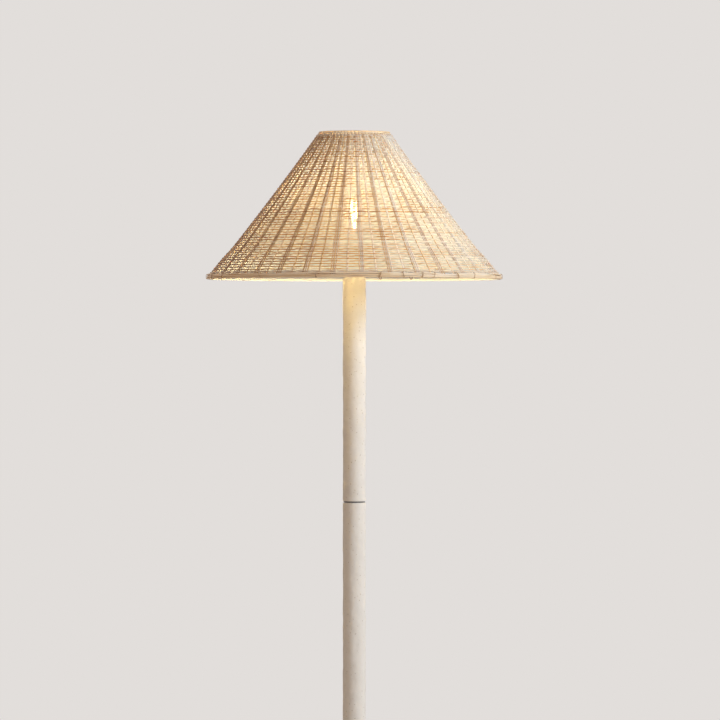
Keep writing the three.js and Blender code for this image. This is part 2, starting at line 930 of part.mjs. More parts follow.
function bulbGlass() {
  const skin = (inset) => {
    const belly = bulbGlassRadius - inset;
    const neck = bulbNeckRadius - inset;
    const side = glassShapeShares.map(([rShare, hShare]) => [
      neck + (belly - neck) * rShare,
      glassBottom + bulbGlassHeight * hShare,
    ]);
    const bellyHeight = side[side.length - 1][1];
    const crown = glassBottom + bulbGlassHeight - inset - bellyHeight;
    const dome = [...Array(glassDomeSteps).keys()].map((i) => {
      const angle = ((i + 1) / glassDomeSteps) * (Math.PI / 2);
      const last = i === glassDomeSteps - 1;
      return [last ? 0 : belly * Math.cos(angle), bellyHeight + crown * Math.sin(angle)];
    });
    return [[neck, glassBottom], ...side, ...dome];
  };
  const outline = [...skin(0), ...skin(bulbGlassWall).reverse()];
  return named("bulb_glass", turned(outline, socketSides), frostedGlass);
}

// Glass stem with two leaning filament strips
function bulbStem() {
  const stemTop = glassBottom + bulbStemHeight;
  const foot = bulbBaseBottom + seatGap;
  const outline = [
    [0, foot],
    [bulbStemRadius, foot],
    [bulbStemRadius, glassBottom],
    [bulbStemRadius / 2, stemTop],
    [0, stemTop],
  ];
  const stem = turned(outline, rodSides);
  const filaments = [-1, 1].map((side) => {
    const low = new THREE.Vector3(0, 0, stemTop - filamentRadius * 2);
    const high = new THREE.Vector3(side * filamentLean, 0, stemTop + filamentLength);
    return wire(new THREE.LineCurve3(low, high), filamentRadius, harpWireSides, 1);
  });
  return named("bulb_stem", joined(stem, ...filaments), filamentCoat);
}

// Shade

const shadeSlopeRun = shadeBottomRadius - shadeTopRadius;
const slopeLength = Math.hypot(shadeSlopeRun, shadeHeight);
const acrossSlope = slopeLength / shadeHeight;

// Outer radius of the shade at a height: a straight cone, drawn in a little half way
function shadeRadiusAt(height) {
  const drop = (shadeTop - height) / shadeHeight;
  return shadeTopRadius + shadeSlopeRun * drop - 4 * shadeHollow * drop * (1 - drop);
}

// One layer of the cone, between two depths below the outer surface and two heights
function shadeLayer(shallow, deep, bottom, top) {
  const heights = [...Array(shadeRings + 1).keys()].map((i) => bottom + ((top - bottom) * i) / shadeRings);
  const outer = heights.map((z) => [shadeRadiusAt(z) - shallow * acrossSlope, z]);
  const inner = heights.map((z) => [shadeRadiusAt(z) - deep * acrossSlope, z]);
  return [...outer, ...inner.reverse()];
}

const hoopThickness = stakeThickness + 2 * hoopSwell;
const weaveOuter = hoopThickness + seatGap;
const weaveInner = weaveOuter + shadeWall;

const firstStakeAngle = THREE.MathUtils.degToRad(firstStakeDegrees);

// A wedge that cuts one slot through the weave, midway between two ribs of even width
function weaveSlot(column, bottom, height) {
  const halfTurn = Math.PI / weaveRibCount;
  const near = weaveRibWidth / 2 / Math.sin(halfTurn);
  const far = near + shadeBottomRadius;
  const spread = shadeBottomRadius * Math.tan(halfTurn);
  const corners = [[near, 0], [far, -spread], [far, spread]].map(([x, y]) => new THREE.Vector2(x, y));
  const options = { depth: height, bevelEnabled: false };
  const wedge = new THREE.ExtrudeGeometry(new THREE.Shape(corners), options);
  return wedge.translate(0, 0, bottom).rotateZ((2 * column + 1) * halfTurn);
}

// The weave is a cone with rows of slots, between ribs that stand behind every second main stake
function shadeWeave() {
  const outline = shadeLayer(weaveOuter, weaveInner, weaveBottom, weaveTop);
  const rowPitch = (weaveTop - weaveBottom - weaveBandHeight) / weaveSlotRows;
  const slotHeight = rowPitch - weaveBandHeight;
  const lowest = weaveBottom + weaveBandHeight;
  const rows = [...Array(weaveSlotRows).keys()].map((row) => lowest + row * rowPitch);
  const columns = [...Array(weaveRibCount).keys()];
  const slots = rows.flatMap((bottom) => columns.map((column) => weaveSlot(column, bottom, slotHeight)));
  const woven = cut(turned(outline, shadeSides), ...slots);
  return named("shade_weave", woven.rotateZ(firstStakeAngle), rattan);
}

// Stakes run down the cone, wide pairs and single ones in turn, held by a twined hoop at each end
function shadeStakes() {
  const stakeBottom = weaveBottom + hoopHeight / 2;
  const stakeTop = weaveTop - hoopHeight / 2;
  const outline = shadeLayer(hoopSwell, hoopSwell + stakeThickness, stakeBottom, stakeTop);
  const stakes = [...Array(2 * stakePairs).keys()].map((i) => {
    const width = i % 2 ? byeStakeWidth : mainStakeWidth;
    return sidePlate(outline, width).rotateZ((Math.PI * i) / stakePairs);
  });
  const hoop = (bottom) => {
    const top = bottom + hoopHeight;
    const [low, high] = [shadeRadiusAt(bottom), shadeRadiusAt(top)];
    const depth = hoopThickness * acrossSlope;
    return turned([[low, bottom], [high, top], [high - depth, top], [low - depth, bottom]], shadeSides);
  };
  const hoops = [hoop(weaveTop - hoopHeight), hoop(weaveBottom)];
  return named("shade_stakes", joined(...hoops, ...stakes).rotateZ(firstStakeAngle), rattanDark);
}

// A border that caps the edge of weave and stakes, with its outer corner rounded off
function borderOutline(outerRadius, depth, bottom, top) {
  const round = (top - bottom) / 3;
  return [
    [outerRadius - depth, bottom],
    [outerRadius - round, bottom],
    [outerRadius, bottom + round],
    [outerRadius, top - round],
    [outerRadius - round, top],
    [outerRadius - depth, top],
  ];
}

function shadeBorders() {
  const bottomTop = shadeBottom + bottomBorderHeight;
  const bottom = borderOutline(shadeBottomRadius, bottomBorderDepth, shadeBottom, bottomTop);
  const topBottom = shadeTop - topBorderHeight;
  const topRadius = shadeRadiusAt(topBottom);
  const top = borderOutline(topRadius, topBorderDepth, topBottom, shadeTop);
  return [
    named("shade_bottom_border", turned(bottom, shadeSides), rattan),
    named("shade_top_border", turned(top, topBorderSides), rattan),
  ];
}

const shadeLinerOuter = weaveInner + seatGap;
const shadeLinerInner = shadeLinerOuter + shadeLinerThickness;

// Translucent sheet inside the weave, down to the lower edge of the bottom border
function shadeLiner() {
  const outline = shadeLayer(shadeLinerOuter, shadeLinerInner, shadeBottom + seatGap, weaveTop);
  return named("shade_liner", turned(outline, shadeLinerSides).rotateZ(firstStakeAngle), linerSheet);
}

// Where a round wire lies against the flats of the liner
function wireRadiusAt(height, wireRadius) {
  const corner = shadeRadiusAt(height) - shadeLinerInner * acrossSlope;
  return corner * Math.cos(Math.PI / shadeLinerSides) - (wireRadius + seatGap) * acrossSlope;
}

function shadeBottomRing() {
  const height = shadeBottom + bottomBorderHeight + seatGap + rimWireRadius;
  const radius = wireRadiusAt(height, rimWireRadius);
  const rim = wireRing(radius, rimWireRadius, height, shadeSides, rimWireSides);
  return named("shade_bottom_ring", rim.rotateZ(firstStakeAngle), zincSteel);
}

// Hub plate, bent wire arms and the top ring, welded together
function shadeSpider() {
  const ringRadius = wireRadiusAt(spiderRingHeight, rimWireRadius);
  const rim = wireRing(ringRadius, rimWireRadius, spiderRingHeight, shadeSides, rimWireSides);
  const hub = disc(spiderHubRadius, hubBottom, hubTop, rodSides);
  const armHeight = hubTop + spiderArmRadius / 2;
  const arms = [...Array(spiderArmCount).keys()].map((i) => {
    const path = new THREE.CatmullRomCurve3(
      [
        new THREE.Vector3(spiderHubRadius - spiderArmFlat / 2, 0, armHeight),
        new THREE.Vector3(spiderHubRadius + spiderArmFlat / 2, 0, armHeight),
        new THREE.Vector3(ringRadius - spiderArmFlat, 0, spiderRingHeight - spiderArmRadius),
        new THREE.Vector3(ringRadius, 0, spiderRingHeight),
      ],
      false,
      "centripetal",
    );
    const turn = Math.PI / 2 + (2 * Math.PI * i) / spiderArmCount;
    return wire(path, spiderArmRadius, rimWireSides, 8).rotateZ(turn);
  });
  const hole = disc(
    swivelThreadRadius + boreGap,
    hubBottom - cutOverrun,
    hubTop + spiderRise,
    rodSides,
  );
  return named("shade_spider", cut(joined(rim, hub, ...arms), hole), zincSteel);
}

// Lead from the grommet, through the channel in the weight, up the column to the switch body
function innerLead() {
  const level = weightBottom + weightChannelHeight / 2;
  const top = switchBodyBottom - seatGap;
  const bendTop = level + leadBendRadius;
  const path = new THREE.CurvePath();
  const point = (y, z) => new THREE.Vector3(0, y, z);
  const outside = coverInnerRadius;
  const dropStart = outside - 2 * grommetFlangeRadius;
  const dropEnd = weightRadius + grommetFlangeRadius;
  const dropShare = 0.5;
  const dropMiddle = dropStart + (dropEnd - dropStart) * dropShare;
  path.add(new THREE.LineCurve3(point(outside, grommetHeight), point(dropStart, grommetHeight)));
  path.add(
    new THREE.CubicBezierCurve3(
      point(dropStart, grommetHeight),
      point(dropMiddle, grommetHeight),
      point(dropMiddle, level),
      point(dropEnd, level),
    ),
  );
  path.add(new THREE.LineCurve3(point(dropEnd, level), point(leadBendRadius, level)));
  path.add(
    new THREE.QuadraticBezierCurve3(
      point(leadBendRadius, level),
      point(0, level),
      point(0, bendTop),
    ),
  );
  path.add(new THREE.LineCurve3(point(0, bendTop), point(0, top)));
  const pieces = path.curves.map((curve) => [curve, curve.isLineCurve3 ? 1 : 8]);
  const line = pieces.flatMap(([curve, steps], i) => curve.getPoints(steps).slice(i ? 1 : 0));
  return named("inner_lead", sweptTube(line, leadRadius, leadSides), leadJacket);
}

// A tube in the YZ plane through a list of points, each section square to the bend
function sweptTube(line, radius, sides) {
  const across = new THREE.Vector3(1, 0, 0);
  const sections = line.map((at, i) => {
    const before = line[Math.max(i - 1, 0)];
    const after = line[Math.min(i + 1, line.length - 1)];
    const along = after.clone().sub(before).normalize();
    const up = along.clone().cross(across);
    return [...Array(sides).keys()].map((k) => {
      const angle = (2 * Math.PI * k) / sides;
      return at
        .clone()
        .addScaledVector(across, radius * Math.cos(angle))
        .addScaledVector(up, radius * Math.sin(angle));
    });
  });
  const faces = [];
  const quad = (a, b, c, d) => faces.push(a, b, c, a, c, d);
  sections.slice(1).forEach((next, i) => {
    const last = sections[i];
    last.forEach((corner, k) => {
      const beside = (k + 1) % sides;
      quad(corner, last[beside], next[beside], next[k]);
    });
  });
  const close = (section) => section.slice(2).forEach((c, k) => faces.push(section[0], section[k + 1], c));
  close([...sections[0]].reverse());
  close(sections[sections.length - 1]);
  const geometry = new THREE.BufferGeometry().setFromPoints(faces);
  geometry.computeVertexNormals();
  return geometry;
}

const lamp = new THREE.Group();
lamp.add(...feet(), basePlate(), ...plateScrews(), baseCover(), cordGrommet(), baseWeight());
lamp.add(...baseClamp(), baseCollar());
lamp.add(...columnTubes(), ...tubePlugs(), ...columnSeams(), ...columnHead());
lamp.add(harpSaddle(), harp(), harpSleeve("harp_sleeve_left", -1), harpSleeve("harp_sleeve_right", 1));
lamp.add(swivelStud(), finial());
lamp.add(socketCap(), socketShell(), socketLiner(), switchBody(), threadShell(), centreContact());
lamp.add(terminalScrew("terminal_screw_left", -1), terminalScrew("terminal_screw_right", 1));
lamp.add(switchShaft(), switchKnob());
lamp.add(bulbBase(), bulbContact(), bulbGlass(), bulbStem());
lamp.add(shadeWeave(), shadeStakes(), ...shadeBorders());
lamp.add(shadeLiner(), shadeBottomRing(), shadeSpider());
lamp.add(innerLead());

export default lamp;
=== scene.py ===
import math

import bpy
import numpy as np
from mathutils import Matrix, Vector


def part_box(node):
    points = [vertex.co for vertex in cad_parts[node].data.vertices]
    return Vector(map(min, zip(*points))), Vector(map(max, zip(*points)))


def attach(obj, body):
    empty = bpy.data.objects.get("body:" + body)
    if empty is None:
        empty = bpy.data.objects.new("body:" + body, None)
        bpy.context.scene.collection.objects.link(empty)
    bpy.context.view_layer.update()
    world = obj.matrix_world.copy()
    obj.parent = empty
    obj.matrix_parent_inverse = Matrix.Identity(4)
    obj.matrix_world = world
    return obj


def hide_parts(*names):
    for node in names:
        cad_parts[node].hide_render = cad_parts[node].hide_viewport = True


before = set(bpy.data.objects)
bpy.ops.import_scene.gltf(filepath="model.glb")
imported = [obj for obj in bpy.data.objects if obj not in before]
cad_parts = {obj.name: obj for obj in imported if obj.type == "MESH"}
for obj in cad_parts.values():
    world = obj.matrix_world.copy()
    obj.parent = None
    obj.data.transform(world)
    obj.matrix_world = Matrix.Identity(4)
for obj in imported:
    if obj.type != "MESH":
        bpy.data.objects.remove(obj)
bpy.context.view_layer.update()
mm = 0.001


# Camera. It looks level along +Y from far off, with the shade in the upper half of the picture
# and the column running out of its lower edge.
camera_distance = 10260 * mm
camera_height = 1084 * mm
camera_side = 9.7 * mm
camera_data = bpy.data.cameras.new("camera")
camera_data.sensor_width = 36
camera_data.lens = 300
camera_data.clip_end = 60
camera = bpy.data.objects.new("camera", camera_data)
camera.location = (camera_side, -camera_distance, camera_height)
camera.rotation_euler = (math.pi / 2, 0, 0)
bpy.context.scene.collection.objects.link(camera)
bpy.context.scene.camera = camera
bpy.context.scene.view_settings.view_transform = "Standard"


# Studio. A pale matt floor, a pale surround that is seen straight, mirrored and through glass but
# gives no light, a soft warm fill from all sides, and a large soft daylight panel on the right.
def colour(code):
    """The linear colour that a shader takes, from an sRGB hex code."""
    srgb = np.array([int(code[i : i + 2], 16) for i in (0, 2, 4)]) / 255
    linear = np.where(srgb <= 0.04045, srgb / 12.92, ((srgb + 0.055) / 1.055) ** 2.4)
    return (*linear.tolist(), 1.0)


def add(tree, kind, settings=None):
    """Adds a shader node. Its settings are properties, or sockets by name or number. A value that
    is a node's output is linked to the socket, and a node stands for its first output."""
    new = tree.nodes.new("ShaderNode" + kind)
    for key, value in (settings or {}).items():
        if isinstance(value, bpy.types.Node):
            value = value.outputs[0]
        if isinstance(value, bpy.types.NodeSocket):
            tree.links.new(value, new.inputs[key])
        elif isinstance(key, int) or key in new.inputs:
            new.inputs[key].default_value = value
        else:
            setattr(new, key, value)
    return new


def start_material(name):
    """A new material whose node tree is empty."""
    made = bpy.data.materials.new(name)
    made.use_nodes = True
    made.node_tree.nodes.clear()
    return made, made.node_tree


def skin(name, points, finish, closed, tone=None):
    """A piece over points P[strand, along, around]. Quads join neighbours, around always closes on
    itself, and along closes too or ends in caps. The UV map runs in metres along and around, and
    tone, from dark 0 to pale 1 for each strand or point, goes in as an attribute."""
    strands, along, around = points.shape[:3]
    index = np.arange(strands * along * around).reshape(strands, along, around)
    here = index if closed else index[:, :-1]
    ahead = np.roll(index, -1, 1) if closed else index[:, 1:]
    quads = np.stack([here, np.roll(here, -1, 2), np.roll(ahead, -1, 2), ahead], -1)
    step = np.linalg.norm(np.diff(points, axis=1), axis=-1).mean((1, 2))[:, None, None, None]
    girth = np.linalg.norm(points - np.roll(points, 1, 2), axis=-1).mean((1, 2))
    lengthwise = np.arange(here.shape[1])[None, :, None, None] + np.array([0, 0, 1, 1])
    crosswise = np.arange(around)[None, None, :, None] + np.array([0, 1, 1, 0])
    u, v = np.broadcast_arrays(
        lengthwise * step + np.arange(strands)[:, None, None, None],
        crosswise * girth[:, None, None, None]
    )
    flat = points.reshape(-1, 3)
    corner = flat[quads.reshape(-1, 4)]
    outward = sum(np.sum(np.cross(corner[:, i], corner[:, i + 1]) * corner[:, 0]) for i in (1, 2))
    turn = slice(None) if outward > 0 else slice(None, None, -1)
    loops = [quads[..., turn].ravel()]
    uv = [np.stack([u[..., turn], v[..., turn]], -1).reshape(-1, 2)]
    sizes = [np.full(quads[..., 0].size, 4)]
    if not closed:
        ends = np.concatenate([index[:, 0, ::-1], index[:, -1]])[:, turn]
        loops.append(ends.ravel())
        uv.append(np.zeros((ends.size, 2)))
        sizes.append(np.full(len(ends), around))
    sizes = np.concatenate(sizes)
    mesh = bpy.data.meshes.new(name)
    mesh.vertices.add(len(flat))
    mesh.vertices.foreach_set("co", flat.astype(np.float32).ravel())
    mesh.loops.add(int(sizes.sum()))
    mesh.loops.foreach_set("vertex_index", np.concatenate(loops).astype(np.int32))
    mesh.polygons.add(len(sizes))
    mesh.polygons.foreach_set("loop_start", (np.cumsum(sizes) - sizes).astype(np.int32))
    mesh.update(calc_edges=True)
    mesh.uv_layers.new(name="lengthwise")
    mesh.uv_layers[0].data.foreach_set("uv", np.concatenate(uv).astype(np.float32).ravel())
    if tone is not None:
        spread = np.broadcast_to(tone[..., None], points.shape[:3])
        mesh.attributes.new("tone", "FLOAT", "POINT")
        mesh.attributes["tone"].data.foreach_set("value", spread.astype(np.float32).ravel())
    mesh.shade_smooth()
    mesh.set_sharp_from_angle(angle=math.radians(40))
    if finish:
        mesh.materials.append(finish)
    made = bpy.data.objects.new(name, mesh)
    bpy.context.scene.collection.objects.link(made)
    return made


def about(angle, radius, level):
    """The points (r cos a, r sin a, z) about the column's axis."""
    a, r, z = np.broadcast_arrays(angle, radius, level)
    return np.stack([r * np.cos(a), r * np.sin(a), z], -1)


def polar(points):
    """The angle of points about the column's axis and their distance from it."""
    return np.arctan2(points[..., 1], points[..., 0]), np.hypot(points[..., 0], points[..., 1])


def once_round(steps):
    """Even angles once round."""
    return np.linspace(0, 2 * np.pi, steps, endpoint=False)


def turned(profile, sides):
    """A turned form: every (r, z) of the profile goes once round the axis."""
    r, z = np.asarray(profile).T[..., None]
    return about(once_round(sides), r, z)[None]


floor_radius = 3200 * mm
floor_thickness = 20 * mm
floor_edge = [(floor_radius, -floor_thickness), (floor_radius, 0)]
floor_paint, tree = start_material("matt_floor_paint")
shader = add(tree, "BsdfPrincipled", {"Base Color": colour("d2cec8"), "Roughness": 0.9})
rays = add(tree, "LightPath")
lift = add(tree, "Math", {"operation": "MULTIPLY", 1: 0.34, 0: rays.outputs["Is Camera Ray"]})
lifted = add(tree, "Emission", {"Color": colour("e2dedb"), "Strength": lift})
both = add(tree, "AddShader", {0: shader, 1: lifted})
add(tree, "OutputMaterial", {"Surface": both})
floor = skin("floor", turned(floor_edge, 96), floor_paint, closed=False)

world = bpy.data.worlds.new("studio")
world.use_nodes = True
world.node_tree.nodes.clear()
bpy.context.scene.world = world
tree = world.node_tree
rays = add(tree, "LightPath")
seen = add(
    tree, "Math",
    {"operation": "MAXIMUM", 0: rays.outputs["Is Camera Ray"], 1: rays.outputs["Is Glossy Ray"]}
)
seen = add(tree, "Math", {"operation": "MAXIMUM", 0: seen, 1: rays.outputs["Is Transmission Ray"]})
fill = add(tree, "Background", {"Color": colour("ffe6d3"), "Strength": 0.44})
surround = add(tree, "Background", {"Color": colour("e2dedb"), "Strength": 1.0})
both = add(tree, "MixShader", {0: seen, 1: fill, 2: surround})
add(tree, "OutputWorld", {"Surface": both})

panel_aim = (0, 0, 1150 * mm)
panel_light = bpy.data.lights.new("daylight_panel", "AREA")
panel_light.shape = "DISK"
panel_light.size = 1200 * mm
panel_light.energy = 70
panel_light.color = colour("ecf6ff")[:3]
panel = bpy.data.objects.new("daylight_panel", panel_light)
panel.location = (2600 * mm, -1500 * mm, 2000 * mm)
away = np.array(panel.location) - panel_aim
tilt = math.acos(away[2] / np.linalg.norm(away))
panel.rotation_euler = (tilt, 0, math.atan2(away[1], away[0]) + math.pi / 2)
bpy.context.scene.collection.objects.link(panel)


# Rubber feet. Four moulded black rubber buttons, glued to the bottom plate, with a bevelled rim.
# Moulded rubber is dark and dull, with a fine grain.
def noise_finish(name, size, noise, look, tints=None, gloss=None, relief=None):
    """A finish over one noise pattern whose grains have a real size: the pattern runs the colour
    between two tints, the roughness between two values, or a relief of a strength and a height."""
    made, tree = start_material(name)
    place = add(tree, "TexCoord").outputs["Object"]
    pattern = add(tree, "TexNoise", {"Scale": 1 / size, **noise, "Vector": place})
    if tints:
        dark, pale = (colour(code) for code in tints)
        tint = add(tree, "Mix", {"data_type": "RGBA", 6: dark, 7: pale, 0: pattern})
        look["Base Color"] = tint.outputs[2]
    if gloss:
        span = {"To Min": gloss[0], "To Max": gloss[1], "Value": pattern}
        look["Roughness"] = add(tree, "MapRange", span)
    if relief:
        grain = {"Strength": relief[0], "Distance": relief[1], "Height": pattern}
        look["Normal"] = add(tree, "Bump", grain)
    add(tree, "OutputMaterial", {"Surface": add(tree, "BsdfPrincipled", look)})
    return made


black = {"Base Color": colour("2b2a28"), "Roughness": 0.75}
rubber = noise_finish("moulded_rubber", 0.5 * mm, {"Detail": 2}, black, relief=(0.3, 0.05 * mm))


def eased(corners, radii, steps=5):
    """A closed profile with rounded corners: each corner C becomes the curve
    (1-t)^2 A + 2t(1-t) C + t^2 B between points A and B that lie its radius before and after it."""
    c = np.asarray(corners, float)
    before, after = np.roll(c, 1, 0) - c, np.roll(c, -1, 0) - c
    t = np.linspace(0, 1, steps)[None, :, None]
    reach = np.broadcast_to(radii, len(c))[:, None]
    to_before, to_after = (np.linalg.norm(side, axis=1, keepdims=True) for side in (before, after))
    a = c + before / to_before * np.minimum(reach, 0.45 * to_before)
    b = c + after / to_after * np.minimum(reach, 0.45 * to_after)
    arcs = (1 - t) ** 2 * a[:, None] + 2 * t * (1 - t) * c[:, None] + t**2 * b[:, None]
    return arcs.reshape(-1, 2)


def ring_profile(inner, outer, low, high, radius):
    """The eased outline of a ring's section."""
    return eased([(outer, low), (outer, high), (inner, high), (inner, low)], radius)


pole = 0.2 * mm  # a turned outline stops this far short of the axis
foot_draft = 1.5 * mm
for number in range(1, 5):
    low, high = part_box(f"rubber_foot_{number}")
    centre = (low + high) / 2
    radius = (high.x - low.x) / 2
    outline = eased(
        [(pole, low.z), (radius - foot_draft, low.z), (radius, high.z), (pole, high.z)],
        [0, 1.2 * mm, 0.5 * mm, 0]
    )
    points = turned(outline, 48) + [centre.x, centre.y, 0]
    foot = skin(f"foot_button_{number}", points, rubber, closed=True)
    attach(foot, "lamp_frame")
    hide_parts(f"rubber_foot_{number}")


# Bottom plate and its screws. Stamped zinc-plated steel: pale grey, dull bright, with the soft
# cloudy streaks that plating leaves.
def finish_cad(material, *names):
    """Puts a finish on CAD nodes that stay as they are."""
    for cad_name in names:
        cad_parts[cad_name].data.materials.clear()
        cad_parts[cad_name].data.materials.append(material)


zinc = noise_finish(
    "zinc_plated_steel", 9 * mm, {"Detail": 5, "Distortion": 0.6}, {"Metallic": 1},
    tints=("a9adb1", "cfd1d2"), gloss=(0.3, 0.5)
)
screws = [f"plate_screw_{number}" for number in range(1, 5)]
finish_cad(zinc, "base_plate", *screws, "base_rod", "clamp_washer", "clamp_nut")


# Iron weight. A grey iron casting under the cover, left as cast: dark brown-grey, with the rough
# skin that a sand mould leaves.
iron = noise_finish(
    "cast_iron", 2 * mm, {"Detail": 6}, {"Metallic": 1, "Roughness": 0.7},
    tints=("35322f", "57524d"), relief=(0.6, 0.3 * mm)
)
finish_cad(iron, "base_weight")


# Base cover, collar, column tubes and cap. Steel with a hand-trowelled lime plaster coat, off-white
# and dead matt: smooth patches with soft ridges between, pinholes and a fine sandy grain.
plaster, tree = start_material("trowelled_lime_plaster")
place = add(tree, "TexCoord").outputs["Object"]
patches = add(
    tree, "TexNoise", {"Scale": 1 / (28 * mm), "Detail": 4, "Roughness": 0.6, "Vector": place}
)
dabs = add(
    tree, "TexNoise",
    {"Scale": 1 / (5 * mm), "Detail": 5, "Roughness": 0.65, "Distortion": 0.8, "Vector": place}
)
sand = add(
    tree, "TexNoise", {"Scale": 1 / (0.9 * mm), "Detail": 3, "Roughness": 0.7, "Vector": place}
)
pores = add(tree, "TexVoronoi", {"Scale": 1 / (7 * mm), "Randomness": 1, "Vector": place})
pits = add(
    tree, "MapRange",
    {
        "From Min": 0.05, "From Max": 0.16, "To Min": 0, "To Max": 1,
        "Value": pores.outputs["Distance"]
    }
)
tint = add(tree, "Mix", {"data_type": "RGBA", 6: colour("dedad2"), 7: colour("ece9e3"), 0: patches})
# The pinholes are coloured darker than the coat around them.
pits_darkened = add(tree, "Mix", {"data_type": "RGBA", 6: colour("b5aa99"), 0: pits, 7: tint.outputs[2]})
trowel = add(tree, "Bump", {"Strength": 0.8, "Distance": 0.6 * mm, "Height": dabs})
grain = add(
    tree, "Bump", {"Strength": 0.5, "Distance": 0.15 * mm, "Height": sand, "Normal": trowel}
)
pitted = add(tree, "Bump", {"Strength": 0.6, "Distance": 0.4 * mm, "Height": pits, "Normal": grain})
shader = add(
    tree, "BsdfPrincipled",
    {
        "Roughness": 0.92, "Specular IOR Level": 0.25, "Base Color": pits_darkened.outputs[2],
        "Normal": pitted
    }
)
add(tree, "OutputMaterial", {"Surface": shader})


def resampled(profile, spacing):
    """The closed profile again, with points an even spacing apart along it."""
    loop = np.vstack([profile, profile[:1]])
    run = np.concatenate([[0], np.cumsum(np.linalg.norm(np.diff(loop, axis=0), axis=1))])
    at = np.linspace(0, run[-1], max(int(run[-1] / spacing), 8), endpoint=False)
    return np.stack([np.interp(at, run, loop[:, i]) for i in (0, 1)], -1)


def plastered(points, seed, depth, shown):
    """The points moved along the surface normal by the plaster's height: a sum of 56 waves
    cos(k.p + f) of 7 to 36 mm in all directions, longer ones higher, passed through tanh so that
    crests flatten as a trowel leaves them. shown is 1 where the coat is and 0 elsewhere."""
    rng = np.random.default_rng(seed)
    shortest, longest, waves = 7 * mm, 36 * mm, 56
    length = shortest * (longest / shortest) ** rng.random(waves)
    heading = rng.normal(size=(waves, 3))
    heading /= np.linalg.norm(heading, axis=1, keepdims=True)
    start = rng.random(waves) * 2 * np.pi
    height = np.zeros(points.shape[:-1])
    for k, f, weight in zip(heading * (2 * np.pi / length[:, None]), start, length / longest):
        height += weight * np.cos(points @ k + f)
    height = np.tanh(1.1 * height / height.std())
    along = np.roll(points, -1, 1) - np.roll(points, 1, 1)
    around = np.roll(points, -1, 2) - np.roll(points, 1, 2)
    normal = np.cross(around, along)
    normal /= np.linalg.norm(normal, axis=-1, keepdims=True)
    return points + normal * (height * depth * shown)[..., None]


def coated(points, profile):
    """1 on the outer faces of a shell, easing to 0 at its rims and on its inner faces."""
    wall, rim = 1.2 * mm, 3 * mm
    radius, height = polar(points)[1], points[..., 2]
    levels = np.unique(profile[:, 1])
    outermost = [profile[profile[:, 1] >= z - 1e-9, 0].max() for z in levels]
    beside = np.clip(1 - (np.interp(height, levels, outermost) - radius) / wall, 0, 1)
    return beside * np.clip(np.minimum(height - height.min(), height.max() - height) / rim, 0, 1)


def plaster_piece(name, cad_node, profile, sides, spacing, depth, seed):
    """A turned piece with a trowelled coat on the faces that show."""
    points = turned(resampled(profile, spacing), sides)
    made = skin(name, plastered(points, seed, depth, coated(points, profile)), plaster, closed=True)
    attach(made, "lamp_frame")
    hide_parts(cad_node)
    return made


bore = 5.2 * mm
tube_wall = 1.5 * mm
tube_edge = 0.9 * mm
for seed, name in enumerate(("lower", "middle", "upper")):
    low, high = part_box(f"column_tube_{name}")
    outline = ring_profile(high.x - tube_wall, high.x, low.z, high.z, tube_edge)
    plaster_piece(
        f"plastered_tube_{name}", f"column_tube_{name}", outline, sides=96,
        spacing=1.7 * mm, depth=0.32 * mm, seed=seed + 11
    )

low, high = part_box("column_cap")
cap_edge = 0.7 * mm
outline = ring_profile(bore, high.x, low.z, high.z, cap_edge)
plaster_piece(
    "plastered_cap", "column_cap", outline, sides=96, spacing=0.8 * mm,
    depth=0.1 * mm, seed=21
)

low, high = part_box("base_collar")
foot_height = 4 * mm
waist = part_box("column_tube_lower")[1].x
t = np.linspace(0, math.pi / 2, 24)
sweep_radius = high.x - (high.x - waist) * np.sin(t)
sweep_level = low.z + foot_height + (high.z - low.z - foot_height) * (1 - np.cos(t))
sweep = np.stack([sweep_radius, sweep_level], -1)
outline = np.vstack([[(bore, low.z), (high.x, low.z)], sweep, [(bore, high.z)]])
plaster_piece(
    "plastered_collar", "base_collar", outline, sides=128, spacing=1.2 * mm,
    depth=0.2 * mm, seed=31
)

low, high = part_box("base_cover")
wall = 2 * mm
edges = np.array([0.8, 15, 0.3, 0.3, 13, 0.8]) * mm
outline = eased(
    [
        (high.x, low.z), (high.x, high.z), (bore, high.z), (bore, high.z - wall),
        (high.x - wall, high.z - wall), (high.x - wall, low.z)
    ], edges, 9
)
cover = plaster_piece(
    "plastered_cover", "base_cover", outline, sides=360, spacing=2.4 * mm,
    depth=0.4 * mm, seed=41
)


# Cord grommet. A moulded rubber bush with rounded flanges, snapped into a hole in the cover's wall
# at the back, of the same dull black rubber as the feet.
grommet_low, grommet_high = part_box("cord_grommet")
grommet_radius = (grommet_high.x - grommet_low.x) / 2
grommet_level = (grommet_high.z + grommet_low.z) / 2
cord_hole, neck, flange = 3.4 * mm, 5.4 * mm, 1.6 * mm
drill = neck + 0.2 * mm
drill_start, drill_end = 120 * mm, 160 * mm
cutter = turned([(drill, drill_start), (drill, drill_end)], 48)[..., [0, 2, 1]]
cutter = skin("cutter", cutter + [0, 0, grommet_level], None, closed=False)
cut = cover.modifiers.new("cord_hole", "BOOLEAN")
cut.object = cutter
cut.operation = "DIFFERENCE"
cut.solver = "EXACT"
evaluated = cover.evaluated_get(bpy.context.evaluated_depsgraph_get())
holed = bpy.data.meshes.new_from_object(evaluated)
cover.modifiers.clear()
cover.data = holed
bpy.data.objects.remove(cutter)

